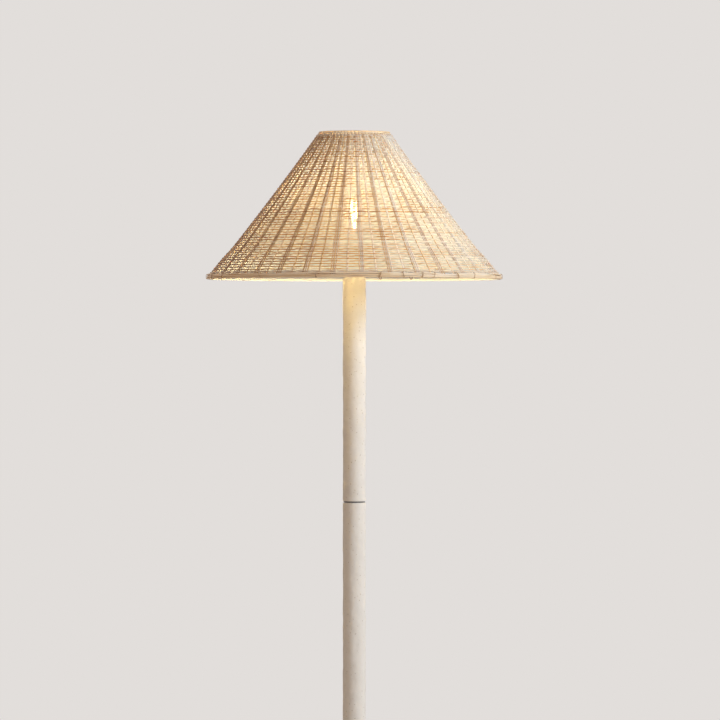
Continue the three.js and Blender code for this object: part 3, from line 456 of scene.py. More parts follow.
edges = np.array([0.5, 0.6, 0.3, 0.1, 0.1, 0.3, 0.9, 0.7]) * mm
outline = eased(
    [
        (cord_hole, grommet_low.y), (grommet_radius, grommet_low.y),
        (grommet_radius, grommet_low.y + flange), (neck, grommet_low.y + flange),
        (neck, grommet_high.y - flange), (grommet_radius, grommet_high.y - flange),
        (grommet_radius, grommet_high.y), (cord_hole, grommet_high.y)
    ], edges
)
bush = turned(outline, 48)[..., [0, 2, 1]] + [0, 0, grommet_level]
bush = skin("rubber_bush", bush, rubber, closed=True)
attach(bush, "lamp_frame")
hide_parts("cord_grommet")


# Inside the column. Turned alloy plugs in the tube ends, zinc-plated hollow studs between them,
# dark rubber washers in the seams, and one smooth ivory lead from the base to the socket.
alloy, tree = start_material("turned_aluminium")
place = add(tree, "TexCoord").outputs["Object"]
lathe_marks = add(
    tree, "TexWave",
    {
        "Scale": 1 / (1.2 * mm), "bands_direction": "Z", "Distortion": 0.4, "Detail": 2,
        "Vector": place
    }
)
gloss = add(tree, "MapRange", {"To Min": 0.3, "To Max": 0.45, "Value": lathe_marks.outputs[1]})
shader = add(
    tree, "BsdfPrincipled", {"Metallic": 1, "Base Color": colour("b4b6b8"), "Roughness": gloss}
)
add(tree, "OutputMaterial", {"Surface": shader})
for name in ("lower", "middle", "upper"):
    finish_cad(alloy, f"plug_{name}_foot", f"plug_{name}_head")
finish_cad(rubber, "seam_washer_lower", "seam_washer_middle")
finish_cad(zinc, "seam_stud_lower", "seam_stud_middle", "top_nipple")

ivory = {"Base Color": colour("d8d2c4")}
jacket = noise_finish("pvc_jacket", 3 * mm, {"Detail": 2}, ivory, gloss=(0.4, 0.55))
finish_cad(jacket, "inner_lead")


# Harp saddle, harp and sleeves. Bent steel strip and spring wire with satin nickel plate: a warm
# grey metal with fine polishing lines and a soft, even reflection.
nickel, tree = start_material("satin_nickel_plate")
place = add(tree, "TexCoord").outputs["Object"]
stretch = add(tree, "Mapping", {"Scale": (1, 1, 6), "Vector": place})
lines = add(
    tree, "TexNoise", {"Scale": 1 / (4 * mm), "Detail": 6, "Roughness": 0.7, "Vector": stretch}
)
gloss = add(tree, "MapRange", {"To Min": 0.2, "To Max": 0.36, "Value": lines})
shader = add(
    tree, "BsdfPrincipled", {"Metallic": 1, "Base Color": colour("cbc4b8"), "Roughness": gloss}
)
add(tree, "OutputMaterial", {"Surface": shader})


def carried(line, up, half_up, half_side, sides, closed, square=1.0):
    """A section carried along lines: P = L + a c(b) up + w s(b) side, b once round, where c and s
    are cosine and sine raised to the power square, which below 1 makes the section boxy. side is
    square to up and to the line's run."""
    if closed:
        run = np.roll(line, -1, 1) - np.roll(line, 1, 1)
    else:
        run = np.gradient(line, axis=1)
    side = np.cross(up, run)
    side /= np.linalg.norm(side, axis=-1, keepdims=True)
    raised = np.cross(run, side)
    raised /= np.linalg.norm(raised, axis=-1, keepdims=True)
    b = (np.arange(sides) + 0.5) * (2 * np.pi / sides)
    c, s = (np.sign(w) * np.abs(w) ** square for w in (np.cos(b), np.sin(b)))
    half_up, half_side = (np.asarray(h)[..., None, None] for h in (half_up, half_side))
    return (
        line[:, :, None]
        + raised[:, :, None] * c[:, None] * half_up
        + side[:, :, None] * s[:, None] * half_side
    )


def through(knots, steps, closed=False):
    """A smooth line through the knots, span by span a cubic whose slope at each knot is half the
    way between its neighbours (Catmull-Rom)."""
    k = np.asarray(knots, float)
    ends = (k[-1:], k[:2]) if closed else (2 * k[:1] - k[1:2], 2 * k[-1:] - k[-2:-1])
    p = np.vstack([ends[0], k, ends[1]])
    t = np.linspace(0, 1, steps, endpoint=False)[None, :, None]
    p0, p1, p2, p3 = (p[i : len(p) - 3 + i, None] for i in range(4))
    spans = 0.5 * (
        2 * p1
        + (p2 - p0) * t
        + (2 * p0 - 5 * p1 + 4 * p2 - p3) * t**2
        + (3 * p1 - 3 * p2 + p3 - p0) * t**3
    )
    line = spans.reshape(-1, k.shape[1])
    return line if closed else np.vstack([line, k[-1:]])


saddle_low, saddle_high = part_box("harp_saddle")
along_y, along_z = (0, 1, 0), (0, 0, 1)
leg_at = 27 * mm
strip = 2 * mm
bend = 4 * mm
floor_level = saddle_low.z + strip / 2
upright_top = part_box("harp_sleeve_left")[0].z - 0.3 * mm
t = np.linspace(0, math.pi / 2, 9)
bow = np.stack([leg_at - bend + bend * np.sin(t), 0 * t, floor_level + bend * (1 - np.cos(t))], -1)
taper_length = 3 * mm
uprights = [[leg_at, 0, upright_top - taper_length], [leg_at, 0, upright_top]]
right_half = np.vstack([bow, uprights])
line = np.vstack([right_half[::-1] * [-1, 1, 1], right_half])[None]
taper = np.interp(line[..., 2], [upright_top - taper_length, upright_top], [1, 0.8])
half_strip = (saddle_high.y - 0.1 * mm) * taper
strip_points = carried(line, along_y, half_strip, strip / 2, 20, False, square=0.35)
saddle = skin("saddle_strip", strip_points, nickel, closed=False)
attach(saddle, "lamp_frame")
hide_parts("harp_saddle")

wire_radius = 1.7 * mm
pin_top, pin_chamfer = saddle_high.z, 0.6 * mm
for side, name in ((-1, "left"), (1, "right")):
    outline = [
        (wire_radius, upright_top - 1 * mm), (wire_radius, pin_top - pin_chamfer),
        (wire_radius - pin_chamfer, pin_top)
    ]
    points = turned(outline, 24) + [side * leg_at, 0, 0]
    pin = skin(f"saddle_pin_{name}", points, nickel, closed=False)
    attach(pin, "lamp_frame")
    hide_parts("harp_saddle")

harp_low, harp_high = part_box("harp")
crown_thickness, crown_edge = 3.6 * mm, 0.9 * mm
crown_radius, crown_bore = 8 * mm, 2.75 * mm
crown_level = harp_high.z - crown_thickness / 2
rise = harp_high.z - harp_low.z
half_width = 52 * mm
straight = 34 * mm
harp_shape_shares = [
    (0.74, 0.3), (0.95, 0.43), (1, 0.57), (0.92, 0.72), (0.68, 0.87), (0.38, 0.965)
]
leg = [(leg_at, harp_low.z + straight * share) for share in (0, 1 / 3, 2 / 3, 1)]
leg += [(half_width * w, harp_low.z + rise * h) for w, h in harp_shape_shares]
leg += [(crown_radius, crown_level)]
knots = np.array([(x, 0, z) for x, z in leg] + [(0, 0, crown_level)])
line = through(np.vstack([knots, knots[-2::-1] * [-1, 1, 1]]), 10)[None]
wire_points = carried(line, along_y, wire_radius, wire_radius, 16, False)
harp_wire = skin("harp_wire", wire_points, nickel, closed=False)
outline = ring_profile(
    crown_bore, crown_radius, harp_high.z - crown_thickness, harp_high.z, crown_edge
)
crown = skin("harp_crown", turned(outline, 48), nickel, closed=True)
for piece in (harp_wire, crown):
    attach(piece, "lamp_frame")
    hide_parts("harp")

sleeve_bore, sleeve_edge = 2.05 * mm, 0.5 * mm
knurls, knurl_depth_share = 36, 0.035
for side, name in ((-1, "left"), (1, "right")):
    low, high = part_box(f"harp_sleeve_{name}")
    outer = (high.x - low.x) / 2
    outline = resampled(ring_profile(sleeve_bore, outer, low.z, high.z, sleeve_edge), 0.25 * mm)
    points = turned(outline, 72)
    angle, distance = polar(points)
    turn, climb = knurls / 2 * angle, points[..., 2] * (knurls / outer)
    knurl = np.abs(np.sin(turn + climb)) + np.abs(np.sin(turn - climb))
    banded = np.clip(np.minimum(points[..., 2] - low.z, high.z - points[..., 2]) / mm - 2, 0, 1)
    outside = distance > outer - 0.3 * mm
    pressed = 1 - (knurl_depth_share * (2 - knurl) * banded * outside)[..., None] * [1, 1, 0]
    points = points * pressed + [side * leg_at, 0, 0]
    sleeve = skin(f"knurled_sleeve_{name}", points, nickel, closed=True)
    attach(sleeve, f"sleeve_{name}")
    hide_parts(f"harp_sleeve_{name}")


# Socket. A spun cap and a drawn shell with a rolled bead, both satin nickel, over a pressed fibre
# liner and a black phenolic switch body. The screw shell and contacts are brass.
low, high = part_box("socket_cap")
hub, flare, shoulder, sheet = 8 * mm, 5 * mm, 10 * mm, 1 * mm
edges = np.array([0.2, 1, 2, 4, 0.3, 0.3, 3.5, 1.5, 0.2]) * mm
outline = eased(
    [
        (bore, low.z), (hub, low.z), (hub, low.z + flare - sheet), (high.x, low.z + shoulder),
        (high.x, high.z), (high.x - sheet, high.z), (high.x - sheet, low.z + shoulder + sheet),
        (hub, low.z + flare + sheet / 2), (bore, low.z + flare + sheet / 2)
    ], edges, 8
)
socket_cap = skin("spun_cap", turned(outline, 96), nickel, closed=True)
low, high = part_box("socket_shell")
bead, half_bead = 0.8 * mm, 1 * mm
shell_outer = high.x - bead
shell_inner = shell_outer - 0.9 * mm
bead_level, lip_drop = high.z - 14 * mm, 1.2 * mm
outline = eased(
    [
        (shell_inner, low.z), (shell_outer, low.z), (shell_outer, bead_level - half_bead),
        (shell_outer + bead, bead_level), (shell_outer, bead_level + half_bead),
        (shell_outer, high.z - 2 * lip_drop), (shell_outer + bead, high.z - lip_drop),
        (shell_outer, high.z), (shell_inner, high.z)
    ], 0.5 * mm
)
socket_shell = skin("drawn_shell", turned(outline, 96), nickel, closed=True)
for piece, cad_name in ((socket_cap, "socket_cap"), (socket_shell, "socket_shell")):
    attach(piece, "lamp_frame")
    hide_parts(cad_name)

fibre = noise_finish(
    "pressed_fibre", 1.5 * mm, {"Detail": 6}, {"Roughness": 0.9}, tints=("43372c", "6b5a48")
)
finish_cad(fibre, "socket_liner")

black = {"Base Color": colour("1f1b18")}
phenolic = noise_finish("moulded_phenolic", 6 * mm, {"Detail": 4}, black, gloss=(0.28, 0.45))
finish_cad(phenolic, "switch_body")

brass = noise_finish(
    "turned_brass", 7 * mm, {"Detail": 5}, {"Metallic": 1}, tints=("b98f4a", "d9b46a"),
    gloss=(0.38, 0.2)
)
finish_cad(brass, "thread_shell", "centre_contact", "switch_shaft", "bulb_contact")
finish_cad(brass, "terminal_screw_left", "terminal_screw_right")


# Switch knob. Moulded black phenolic, ten soft flutes round its grip and a domed end, pushed on
# the brass shaft.
low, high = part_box("switch_knob")
knob_radius = high.x
knob_level = (low.z + high.z) / 2
knob_bore, bore_depth, dome = 1.95 * mm, 8 * mm, 1.6 * mm
narrow = 0.3 * mm  # as pole, a little wider
flutes, flute_depth_share = 10, 0.06
edges = np.array([0.3, 0.8, 1, 1.4, 0, 0, 0.2]) * mm
outline = resampled(
    eased(
        [
            (knob_bore, -high.y), (knob_radius - 0.8 * mm, -high.y),
            (knob_radius, -high.y + 3 * mm), (knob_radius - 0.6 * mm, -low.y - dome),
            (narrow, -low.y), (narrow, -high.y + bore_depth), (knob_bore, -high.y + bore_depth)
        ], edges
    ), 0.35 * mm
)
points = turned(outline, 120)
angle, distance = polar(points)
fluted = np.clip((distance / knob_radius - 0.75) / 0.2, 0, 1)
wave = 1 + np.cos(flutes * angle)
groove = 1 - (flute_depth_share * wave * fluted)[..., None] * [1, 1, 0]
points = (points * groove)[..., [0, 2, 1]] * [1, -1, 1] + [0, 0, knob_level]
knob = skin("fluted_knob", points, phenolic, closed=True)
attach(knob, "switch")
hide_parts("switch_knob")


# Bulb. A clear glass bulb on a rolled aluminium screw cap. The glass shows only as a faint warm
# sheen round the two coated filament strips inside, which give all the light.
low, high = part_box("bulb_glass")
neck_radius = 12.6 * mm
glass_wall = 1 * mm
glass_rise = high.z - low.z
neck_share, belly_share = 0.1, 0.66


def glass_outline(inset):
    """Bulb radius by height: the neck swells to the belly as 3x^2 - 2x^3, then a quarter
    ellipse closes it."""
    h = np.linspace(0, belly_share, 28)
    x = np.clip((h - neck_share) / (belly_share - neck_share), 0, 1)
    swell = neck_radius + (high.x - neck_radius) * (3 * x**2 - 2 * x**3) - inset
    t = np.linspace(0, 0.495 * math.pi, 20)[1:]
    crown_rise = glass_rise * (1 - belly_share) - inset
    radius = np.concatenate([swell, (high.x - inset) * np.cos(t)])
    level = np.concatenate([h * glass_rise, belly_share * glass_rise + crown_rise * np.sin(t)])
    return np.stack([radius, low.z + level], -1)


clear, tree = start_material("blown_clear_glass")
place = add(tree, "TexCoord").outputs["Object"]
film = add(tree, "TexNoise", {"Scale": 1 / (12 * mm), "Detail": 3, "Vector": place})
dust = add(tree, "MapRange", {"To Min": 0.03, "To Max": 0.06, "Value": film})
shader = add(
    tree, "BsdfPrincipled", {"Base Color": colour("fff6e8"), "Roughness": 0.08, "Alpha": dust}
)
add(tree, "OutputMaterial", {"Surface": shader})
outline = np.vstack([glass_outline(0), glass_outline(glass_wall)[::-1]])
glass = skin("lamp_glass", turned(outline, 96), clear, closed=True)
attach(glass, "bulb")
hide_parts("bulb_glass")

low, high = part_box("bulb_base")
thread_pitch, thread_depth = 3.6 * mm, 0.85 * mm
insulator, tip_ring = 5.4 * mm, 8 * mm
edges = np.array([0.3, 1, 1.2, 0.4, 0.2]) * mm
outline = resampled(
    eased(
        [
            (insulator, low.z), (tip_ring, low.z), (high.x, low.z + 2.5 * mm), (high.x, high.z),
            (insulator, high.z)
        ], edges
    ), 0.45 * mm
)
points = turned(outline, 96)
angle, distance = polar(points)
wound = 0.5 - 0.5 * np.cos(points[..., 2] * (2 * np.pi / thread_pitch) - angle)
from_ends = np.minimum(points[..., 2] - low.z, high.z - points[..., 2])
threaded = np.clip(from_ends / mm - 2.2, 0, 1)
sunk = thread_depth * wound * threaded * (distance > high.x - 1.4 * mm) / distance
points = points * (1 - sunk[..., None] * [1, 1, 0])
bright = {"Metallic": 1, "Base Color": colour("cdced0")}
rolled = noise_finish(
    "rolled_aluminium", 2.5 * mm, {"Detail": 6, "Roughness": 0.7}, bright, gloss=(0.22, 0.42)
)
screw_cap = skin("screw_cap", points, rolled, closed=True)
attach(screw_cap, "bulb")
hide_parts("bulb_base")

low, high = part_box("bulb_stem")
stem_height, press_height = 12 * mm, 8 * mm
stem_flare, stem_radius = 5 * mm, 2.4 * mm
stem_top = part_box("bulb_glass")[0].z + stem_height
edges = np.array([0, 0.6, 6, 6, 1, 0]) * mm
outline = eased(
    [
        (narrow, low.z), (stem_flare, low.z), (stem_flare, stem_top - stem_height),
        (stem_radius, stem_top - press_height), (stem_radius, stem_top), (narrow, stem_top)
    ], edges, 8
)
stem = skin("glass_stem", turned(outline, 32), clear, closed=True)
filament_radius = 1.2 * mm
foot, tip = np.array([0, 0, stem_top]), np.array([0.8 * high.x, 0, high.z])
t = np.linspace(0, 1, 15)[:, None]
line = np.stack([(foot + (tip - foot) * t) * [side, 1, 1] for side in (-1, 1)])
strip_points = carried(line, along_y, filament_radius, filament_radius, 10, False)
coating, tree = start_material("glowing_filament_coat")
place = add(tree, "TexCoord").outputs["Object"]
beads = add(tree, "TexNoise", {"Scale": 1 / (1 * mm), "Vector": place})
tint = add(tree, "Mix", {"data_type": "RGBA", 6: colour("ffe39a"), 7: colour("ffe9ac"), 0: beads})
shader = add(
    tree, "BsdfPrincipled",
    {
        "Roughness": 0.6, "Emission Strength": 2650, "Base Color": tint.outputs[2],
        "Emission Color": tint.outputs[2]
    }
)
add(tree, "OutputMaterial", {"Surface": shader})
strips = skin("filament_strips", strip_points, coating, closed=False)
for piece in (stem, strips):
    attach(piece, "bulb")
    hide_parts("bulb_stem")


# Shade form. A hand-woven cone, drawn in a little half way down and fuller over the last rows.
# Its canes lie about one middle surface, so every cane's place is given on that surface.
rim_low, rim_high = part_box("shade_bottom_border")
mouth_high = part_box("shade_top_border")[1]
weave_low, weave_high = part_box("shade_stakes")
rim_radius = rim_high.x
mouth_radius = 62.5 * mm
hollow = 3 * mm
cone_height = mouth_high.z - rim_low.z
cone_run = rim_radius - mouth_radius
slope_length = math.hypot(cone_run, cone_height)
outward_radial, outward_up = cone_height / slope_length, cone_run / slope_length
middle_depth = 2.3 * mm
swell, swell_zone, swell_run = 2.2 * mm, 75 * mm, 40 * mm
main_stakes = 32
first_main = math.radians(-90 + 3)


def cone_radius(slant):
    """The radius at a distance down the slope from the mouth: mouth + run d - 4 h d (1 - d), where
    d is the share of the slope gone down and h is how far the side is drawn in."""
    drop = slant / slope_length
    return mouth_radius + cone_run * drop - 4 * hollow * drop * (1 - drop)


def on_shade(angle, slant, proud):
    """A point of the shade and the outward normal there, for an angle about the column, a
    distance down the slope from the mouth, and how far the point stands proud of the middle
    surface. Over the last 75 mm the cone swells out by an S curve 3x^2 - 2x^3."""
    angle, slant, proud = np.broadcast_arrays(angle, slant, proud)
    x = np.clip((slant - slope_length + swell_zone) / swell_run, 0, 1)
    proud = proud + swell * (3 * x**2 - 2 * x**3)
    away = about(angle, 1, 0)
    normal = away * outward_radial + np.array([0, 0, outward_up])
    base = away * cone_radius(slant)[..., None]
    base[..., 2] = mouth_high.z - cone_height * slant / slope_length
    return base + normal * (proud - middle_depth)[..., None], normal


def slant_at(height):
    """Distance down the slope from the mouth to a height."""
    return (mouth_high.z - height) * slope_length / cone_height


# Cane finishes. Split rattan core, dried and left natural: honey to brown from strand to strand,
# fibres running lengthwise, a satin surface, and thin enough that the lamp's light glows through.
def cane_finish(name, dark, middle, pale, through_share, glow):
    """A cane material: three tones picked by the tone attribute, broken up by fibres 0.25 mm wide
    and by blotches, with a share of the light that falls on the far side coming through."""
    made, tree = start_material(name)
    tone = add(tree, "Attribute", {"attribute_name": "tone"})
    lengthwise = add(tree, "UVMap", {"uv_map": "lengthwise"})
    fibre_stretch = add(
        tree, "Mapping", {"Scale": (1 / (9 * mm), 1 / (0.25 * mm), 1), "Vector": lengthwise}
    )
    fibres = add(
        tree, "TexNoise", {"Scale": 1, "Detail": 3, "Roughness": 0.6, "Vector": fibre_stretch}
    )
    place = add(tree, "TexCoord").outputs["Object"]
    blotch = add(tree, "TexNoise", {"Scale": 1 / (16 * mm), "Detail": 3, "Vector": place})
    worn = add(tree, "Math", {"operation": "ADD", 0: fibres, 1: blotch})
    shift = add(
        tree, "MapRange",
        {"From Min": 0.6, "From Max": 1.4, "To Min": -0.22, "To Max": 0.22, "Value": worn}
    )
    mixed = add(tree, "Math", {"operation": "ADD", 0: tone.outputs["Fac"], 1: shift})
    lower = add(tree, "MapRange", {"From Min": 0, "From Max": 0.5, "Value": mixed})
    upper = add(tree, "MapRange", {"From Min": 0.5, "From Max": 1, "Value": mixed})
    brown = add(tree, "Mix", {"data_type": "RGBA", 6: colour(dark), 7: colour(middle), 0: lower})
    tint = add(tree, "Mix", {"data_type": "RGBA", 7: colour(pale), 0: upper, 6: brown.outputs[2]})
    bump = add(tree, "Bump", {"Strength": 0.35, "Distance": 0.08 * mm, "Height": fibres})
    gloss = add(tree, "MapRange", {"To Min": 0.38, "To Max": 0.55, "Value": fibres})
    shader = add(
        tree, "BsdfPrincipled",
        {
            "Specular IOR Level": 1.0, "Base Color": tint.outputs[2], "Roughness": gloss,
            "Normal": bump
        }
    )
    amber = add(
        tree, "Mix",
        {"data_type": "RGBA", "blend_type": "MULTIPLY", 0: 1, 7: colour(glow), 6: tint.outputs[2]}
    )
    let_through = add(tree, "BsdfTranslucent", {"Color": amber.outputs[2], "Normal": bump})
    both = add(tree, "MixShader", {0: through_share, 1: shader, 2: let_through})
    add(tree, "OutputMaterial", {"Surface": both})
    return made


def painted_daylight_paleness(angle, amount=0.37):
    """Painted daylight: canes are coloured paler towards the daylight by amount cos(a + 0.2)."""
    return amount * np.cos(angle + 0.2)


# Stakes. 32 main stakes, each three flat canes that lie close at the mouth and spread with gaps
# between them at the rim, and midway 32 single bye stakes. All run straight down the slope.
main_cane = cane_finish("rattan_main_stake", "b08856", "dcb688", "f5f4f0", 0.12, "ffe0b8")
bye_cane = cane_finish("rattan_bye_stake", "c8a06c", "efd0a0", "faf4ea", 0.14, "ffe4c0")
cane_thickness = 1.1 * mm
stake_top = slant_at(weave_high.z) - 2 * mm
stake_foot = slant_at(weave_low.z) + 3 * mm
stake_steps = 72
stray_depth = 0.45 * mm
rng = np.random.default_rng(7)


def stake_canes(name, starts, sideways, thin, thick, finish, tones):
    """Canes down the slope: half the width grows evenly from thin to thick, and each cane strays
    sideways by its own spacing and by a slow wave of under half a millimetre."""
    slant = np.linspace(stake_top, stake_foot, stake_steps)[None]
    down = (slant - stake_top) / (stake_foot - stake_top)
    reach = mouth_radius + cone_run * slant / slope_length
    count = len(starts)
    waves, start = rng.uniform(3, 9, (count, 1)), rng.uniform(0, 6.3, (count, 1))
    stray = stray_depth * np.sin(down * waves + start)
    across = sideways[:, :1] + (sideways[:, 1:] - sideways[:, :1]) * down + stray
    half_width = thin + (thick - thin) * down
    line, normal = on_shade(starts[:, None] + across / reach, slant, 0)
    # painted daylight: the stakes' tone is made paler on the side towards the daylight
    tone = (tones + painted_daylight_paleness(starts))[:, None]
    points = carried(line, normal, cane_thickness / 2, half_width, 8, False, 0.8)
    made = skin(name, points, finish, closed=False, tone=tone)
    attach(made, "shade")
    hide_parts("shade_stakes")


main_angles = first_main + np.arange(main_stakes) * (2 * np.pi / main_stakes)
bye_angles = main_angles + np.pi / main_stakes
triple = np.tile([-1, 0, 1], main_stakes)
spacing_top, spacing_foot = 2.0 * mm, 3.7 * mm
stake_canes(
    "main_stakes", np.repeat(main_angles, 3),
    np.stack([triple * spacing_top, triple * spacing_foot], -1), thin=0.85 * mm, thick=1.1 * mm,
    finish=main_cane, tones=rng.uniform(0.2, 0.75, 3 * main_stakes)
)
stake_canes(
    "bye_stakes", bye_angles, np.zeros((main_stakes, 2)), thin=1.1 * mm, thick=1.4 * mm,
    finish=bye_cane, tones=rng.uniform(0.2, 0.9, main_stakes)
)


# Weavers. Thin split canes woven over one stake and under the next, in 54 even rows from the mouth
# to the rim. Every row is pieced together from lengths of cane, each of its own tone.
weaver_cane = cane_finish("rattan_weaver", "a06430", "ca985e", "f3eee2", 0.12, "ffe0b8")
weaver_half_width = 1.3 * mm
weaver_half_thickness = 0.42 * mm
wave_depth, flatness, sink = 0.95 * mm, 2.2, 0.5 * mm
rim_zone, mouth_zone = (60 * mm, 30 * mm), (34 * mm, 24 * mm)
rim_darker, mouth_paler, patch_depth = 0.12, 0.08, 0.06
bark_share, bark_doubled, bark_darker = 0.06, 0.5, 0.2


def weave(name, rows, slants, seed):
    """Woven rows: row j stands proud of the middle surface by w = D tanh(f c) / tanh(f), where
    c = cos(32 a) turned over from row to row, so each row passes flat over one stake and flat
    under the next. It sinks by c where it passes over a stake, rises where it passes under, and
    strays by slow waves. Tone is even over each length of cane, drifts in patches, is made paler
    on the side towards the daylight as painted daylight, and drops where a cell has dark bark on
    it, often on two rows together."""
    rng = np.random.default_rng(seed)
    count = len(rows)
    angle = once_round(512)[None]
    phase = main_stakes * (angle - first_main)
    turn = np.where(rows % 2 == 0, 1, -1)[:, None]
    c = turn * np.cos(phase)
    proud = wave_depth * np.tanh(flatness * c) / math.tanh(flatness)
    stray = sum(
        rng.uniform(0.05, 0.2, (count, 1)) * mm
        * np.cos(k * angle + rng.uniform(0, 6.3, (count, 1)))
        for k in (3, 7, 13, 29, 47)
    )
    stray = stray + sink * c
    width = weaver_half_width * (
        rng.uniform(0.88, 1.12, (count, 1))
        + 0.08 * np.cos(9 * angle + rng.uniform(0, 6.3, (count, 1)))
    )
    line, normal = on_shade(angle, slants[:, None] + stray, proud)
    lengths = rng.integers(2, 5, (count, 1))
    part = ((angle / (2 * np.pi) + rng.random((count, 1))) % 1 * lengths).astype(int)
    tone = np.take_along_axis(rng.normal(0.56, 0.12, (count, 5)), part, 1)
    cell = ((phase / np.pi + 0.5) % (2 * main_stakes)).astype(int)
    bark = rng.random((count, 2 * main_stakes)) < bark_share
    bark = bark | (np.roll(bark, 1, 0) & (rng.random(bark.shape) < bark_doubled))
    tone = tone - bark_darker * np.take_along_axis(bark, np.broadcast_to(cell, tone.shape), 1)
    drifts = ((3, 31, 0.4), (7, -23, 2.1), (11, 17, 4.0), (16, -12, 5.3))
    down = slants[:, None] / mm
    patches = sum(np.cos(k * angle + down / length + start) for k, length, start in drifts)
    # painted daylight: the weavers' tone is made paler on the side towards the daylight
    tone = tone + patch_depth * patches + painted_daylight_paleness(angle)
    rim = np.clip((slants - slope_length + rim_zone[0]) / rim_zone[1], 0, 1)
    mouth = np.clip((mouth_zone[0] - slants) / mouth_zone[1], 0, 1)
    tone = tone - (rim_darker * rim - mouth_paler * mouth)[:, None]
    points = carried(line, normal, weaver_half_thickness, width, 6, True)
    made = skin(name, points, weaver_cane, closed=True, tone=np.clip(tone, 0, 1))
    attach(made, "shade")
    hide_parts("shade_weave")


rows_total = 54
first_row, last_row = slant_at(weave_high.z) + 4.5 * mm, slant_at(weave_low.z) - 8 * mm
row_slants = np.linspace(first_row, last_row, rows_total)
thirds = np.array_split(np.arange(rows_total), 3)
for seed, (name, rows) in enumerate(zip(("upper", "middle", "lower"), thirds)):
    weave(f"weavers_{name}", rows, row_slants[rows], seed + 51)


# Twining. At the mouth and at the rim a pair of canes holds the stakes: the two change places
# between every stake and the next, so they cross like a rope's strands.
twine_places = {"top": slant_at(weave_high.z) - 0.5 * mm, "bottom": slant_at(weave_low.z) - 3 * mm}
twine_side = 0.9 * mm
twine_thick, twine_wide = 0.8 * mm, 1.0 * mm
for seed, (name, slant) in enumerate(twine_places.items()):
    rng = np.random.default_rng(seed + 61)
    angle = once_round(1024)[None]
    swap = np.array([[1], [-1]])
    phase = main_stakes * (angle - first_main)
    beside = slant + swap * twine_side * np.sin(phase)
    line, normal = on_shade(angle, beside, swap * wave_depth * np.cos(phase))
    points = carried(line, normal, twine_thick, twine_wide, 6, True)
    tone = rng.uniform(0.72, 0.88, (2, 1))
    twined = skin(f"twining_{name}", points, weaver_cane, closed=True, tone=tone)
    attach(twined, "shade")
    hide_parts("shade_stakes")


# Bottom border. Six long canes laid together round the rim as a flat bundle, in three layers of
# two, the top two slack in places, bound by thin split cane at uneven distances. Two ends hang
# below the front as loops.
border_cane = cane_finish("rattan_border_cane", "e6be8a", "fae4be", "fcf4e2", 0.16, "ffe4c0")
lash_cane = cane_finish("split_cane_lashing", "86643e", "ba956a", "e2c49c", 0.15, "ffe0b0")
border_thick, border_wide = 1.3 * mm, 1.4 * mm
sway_depth, sway_inward_share = 0.25 * mm, 0.8
bundle_middle = rim_radius - 4.2 * mm
bundle_level = (rim_low.z + rim_high.z) / 2
rng = np.random.default_rng(71)
angle = once_round(480)[None]
shelf = np.repeat([-2.5, 0.1, 3.0], 2)[:, None] * mm
ledge = np.array([-1.4, 1.5, -1.4, 1.4, -1.5, 0.9])[:, None] * mm
restless = np.array([0.4, 0.4, 0.6, 0.8, 1.6, 2.2])[:, None]
sway = sum(sway_depth * np.cos(k * angle + rng.uniform(0, 6.3, (6, 1))) for k in (4, 9, 17))
radius = bundle_middle + ledge + np.roll(sway, 1, 0) * sway_inward_share
droop = 1.8 * mm
slack_places = [(-34.6, 6), (38.3, 4), (118, 7), (171, 5), (226, 6)]
slack_middle, slack_reach = np.array(slack_places).T[..., None]
off_middle = (np.degrees(angle) + 90 - slack_middle + 180) % 360 - 180
slack = np.exp(-((off_middle / slack_reach) ** 2)).sum(0)
level = bundle_level + shelf + sway * restless - droop * slack * (shelf > 2 * mm)
line = about(angle, radius, level)
tone = rng.uniform(0.45, 1.0, (6, 1)) + 0.12 * np.cos(5 * angle + rng.uniform(0, 6.3, (6, 1)))
# painted daylight: the border canes' tone is made paler on the side towards the daylight
tone = tone - np.array([0.03, 0.08, 0, 0, 0, 0])[:, None] + painted_daylight_paleness(angle, 0.12)
points = carried(line, along_z, border_thick, border_wide, 8, True)
bundle = skin("border_canes", points, border_cane, closed=True, tone=np.clip(tone, 0, 1))

front_lashes = [-62.0, -39.0, -14.7, 9.9, 19.0, 26.9, 32.2, 43.7, 53.4]
back_lashes = np.cumsum(rng.uniform(5, 19, 24)) + 60
lashes = np.concatenate([front_lashes, back_lashes[back_lashes < 290]])
turns, lash_thick, lash_wide = 1.5, 0.35 * mm, 0.55 * mm
around = np.linspace(0, 1, 41)[None]
lean = rng.uniform(-2.4, 2.4, (len(lashes), 1)) * mm
b = 2 * np.pi * turns * around + rng.uniform(0, 6.3, (len(lashes), 1))
wrap_out, wrap_up, wrap_pitch, boxy = 3.9 * mm, 4.3 * mm, 2 * mm, 0.6
wrap_level = bundle_level + 0.3 * mm
out = wrap_out * np.sign(np.cos(b)) * np.abs(np.cos(b)) ** boxy
rise = wrap_up * np.sign(np.sin(b)) * np.abs(np.sin(b)) ** boxy
drift = (around - 0.5) * wrap_pitch + lean * rise / wrap_up
bearing = np.radians(lashes - 90)[:, None] + drift / bundle_middle
line = about(bearing, bundle_middle + out, wrap_level + rise)
away = about(bearing, out, rise)
points = carried(line, away, lash_thick, lash_wide, 6, False)
tone = rng.uniform(0.4, 1.0, (len(lashes), 1))
bound = skin("border_lashings", points, lash_cane, closed=False, tone=tone)

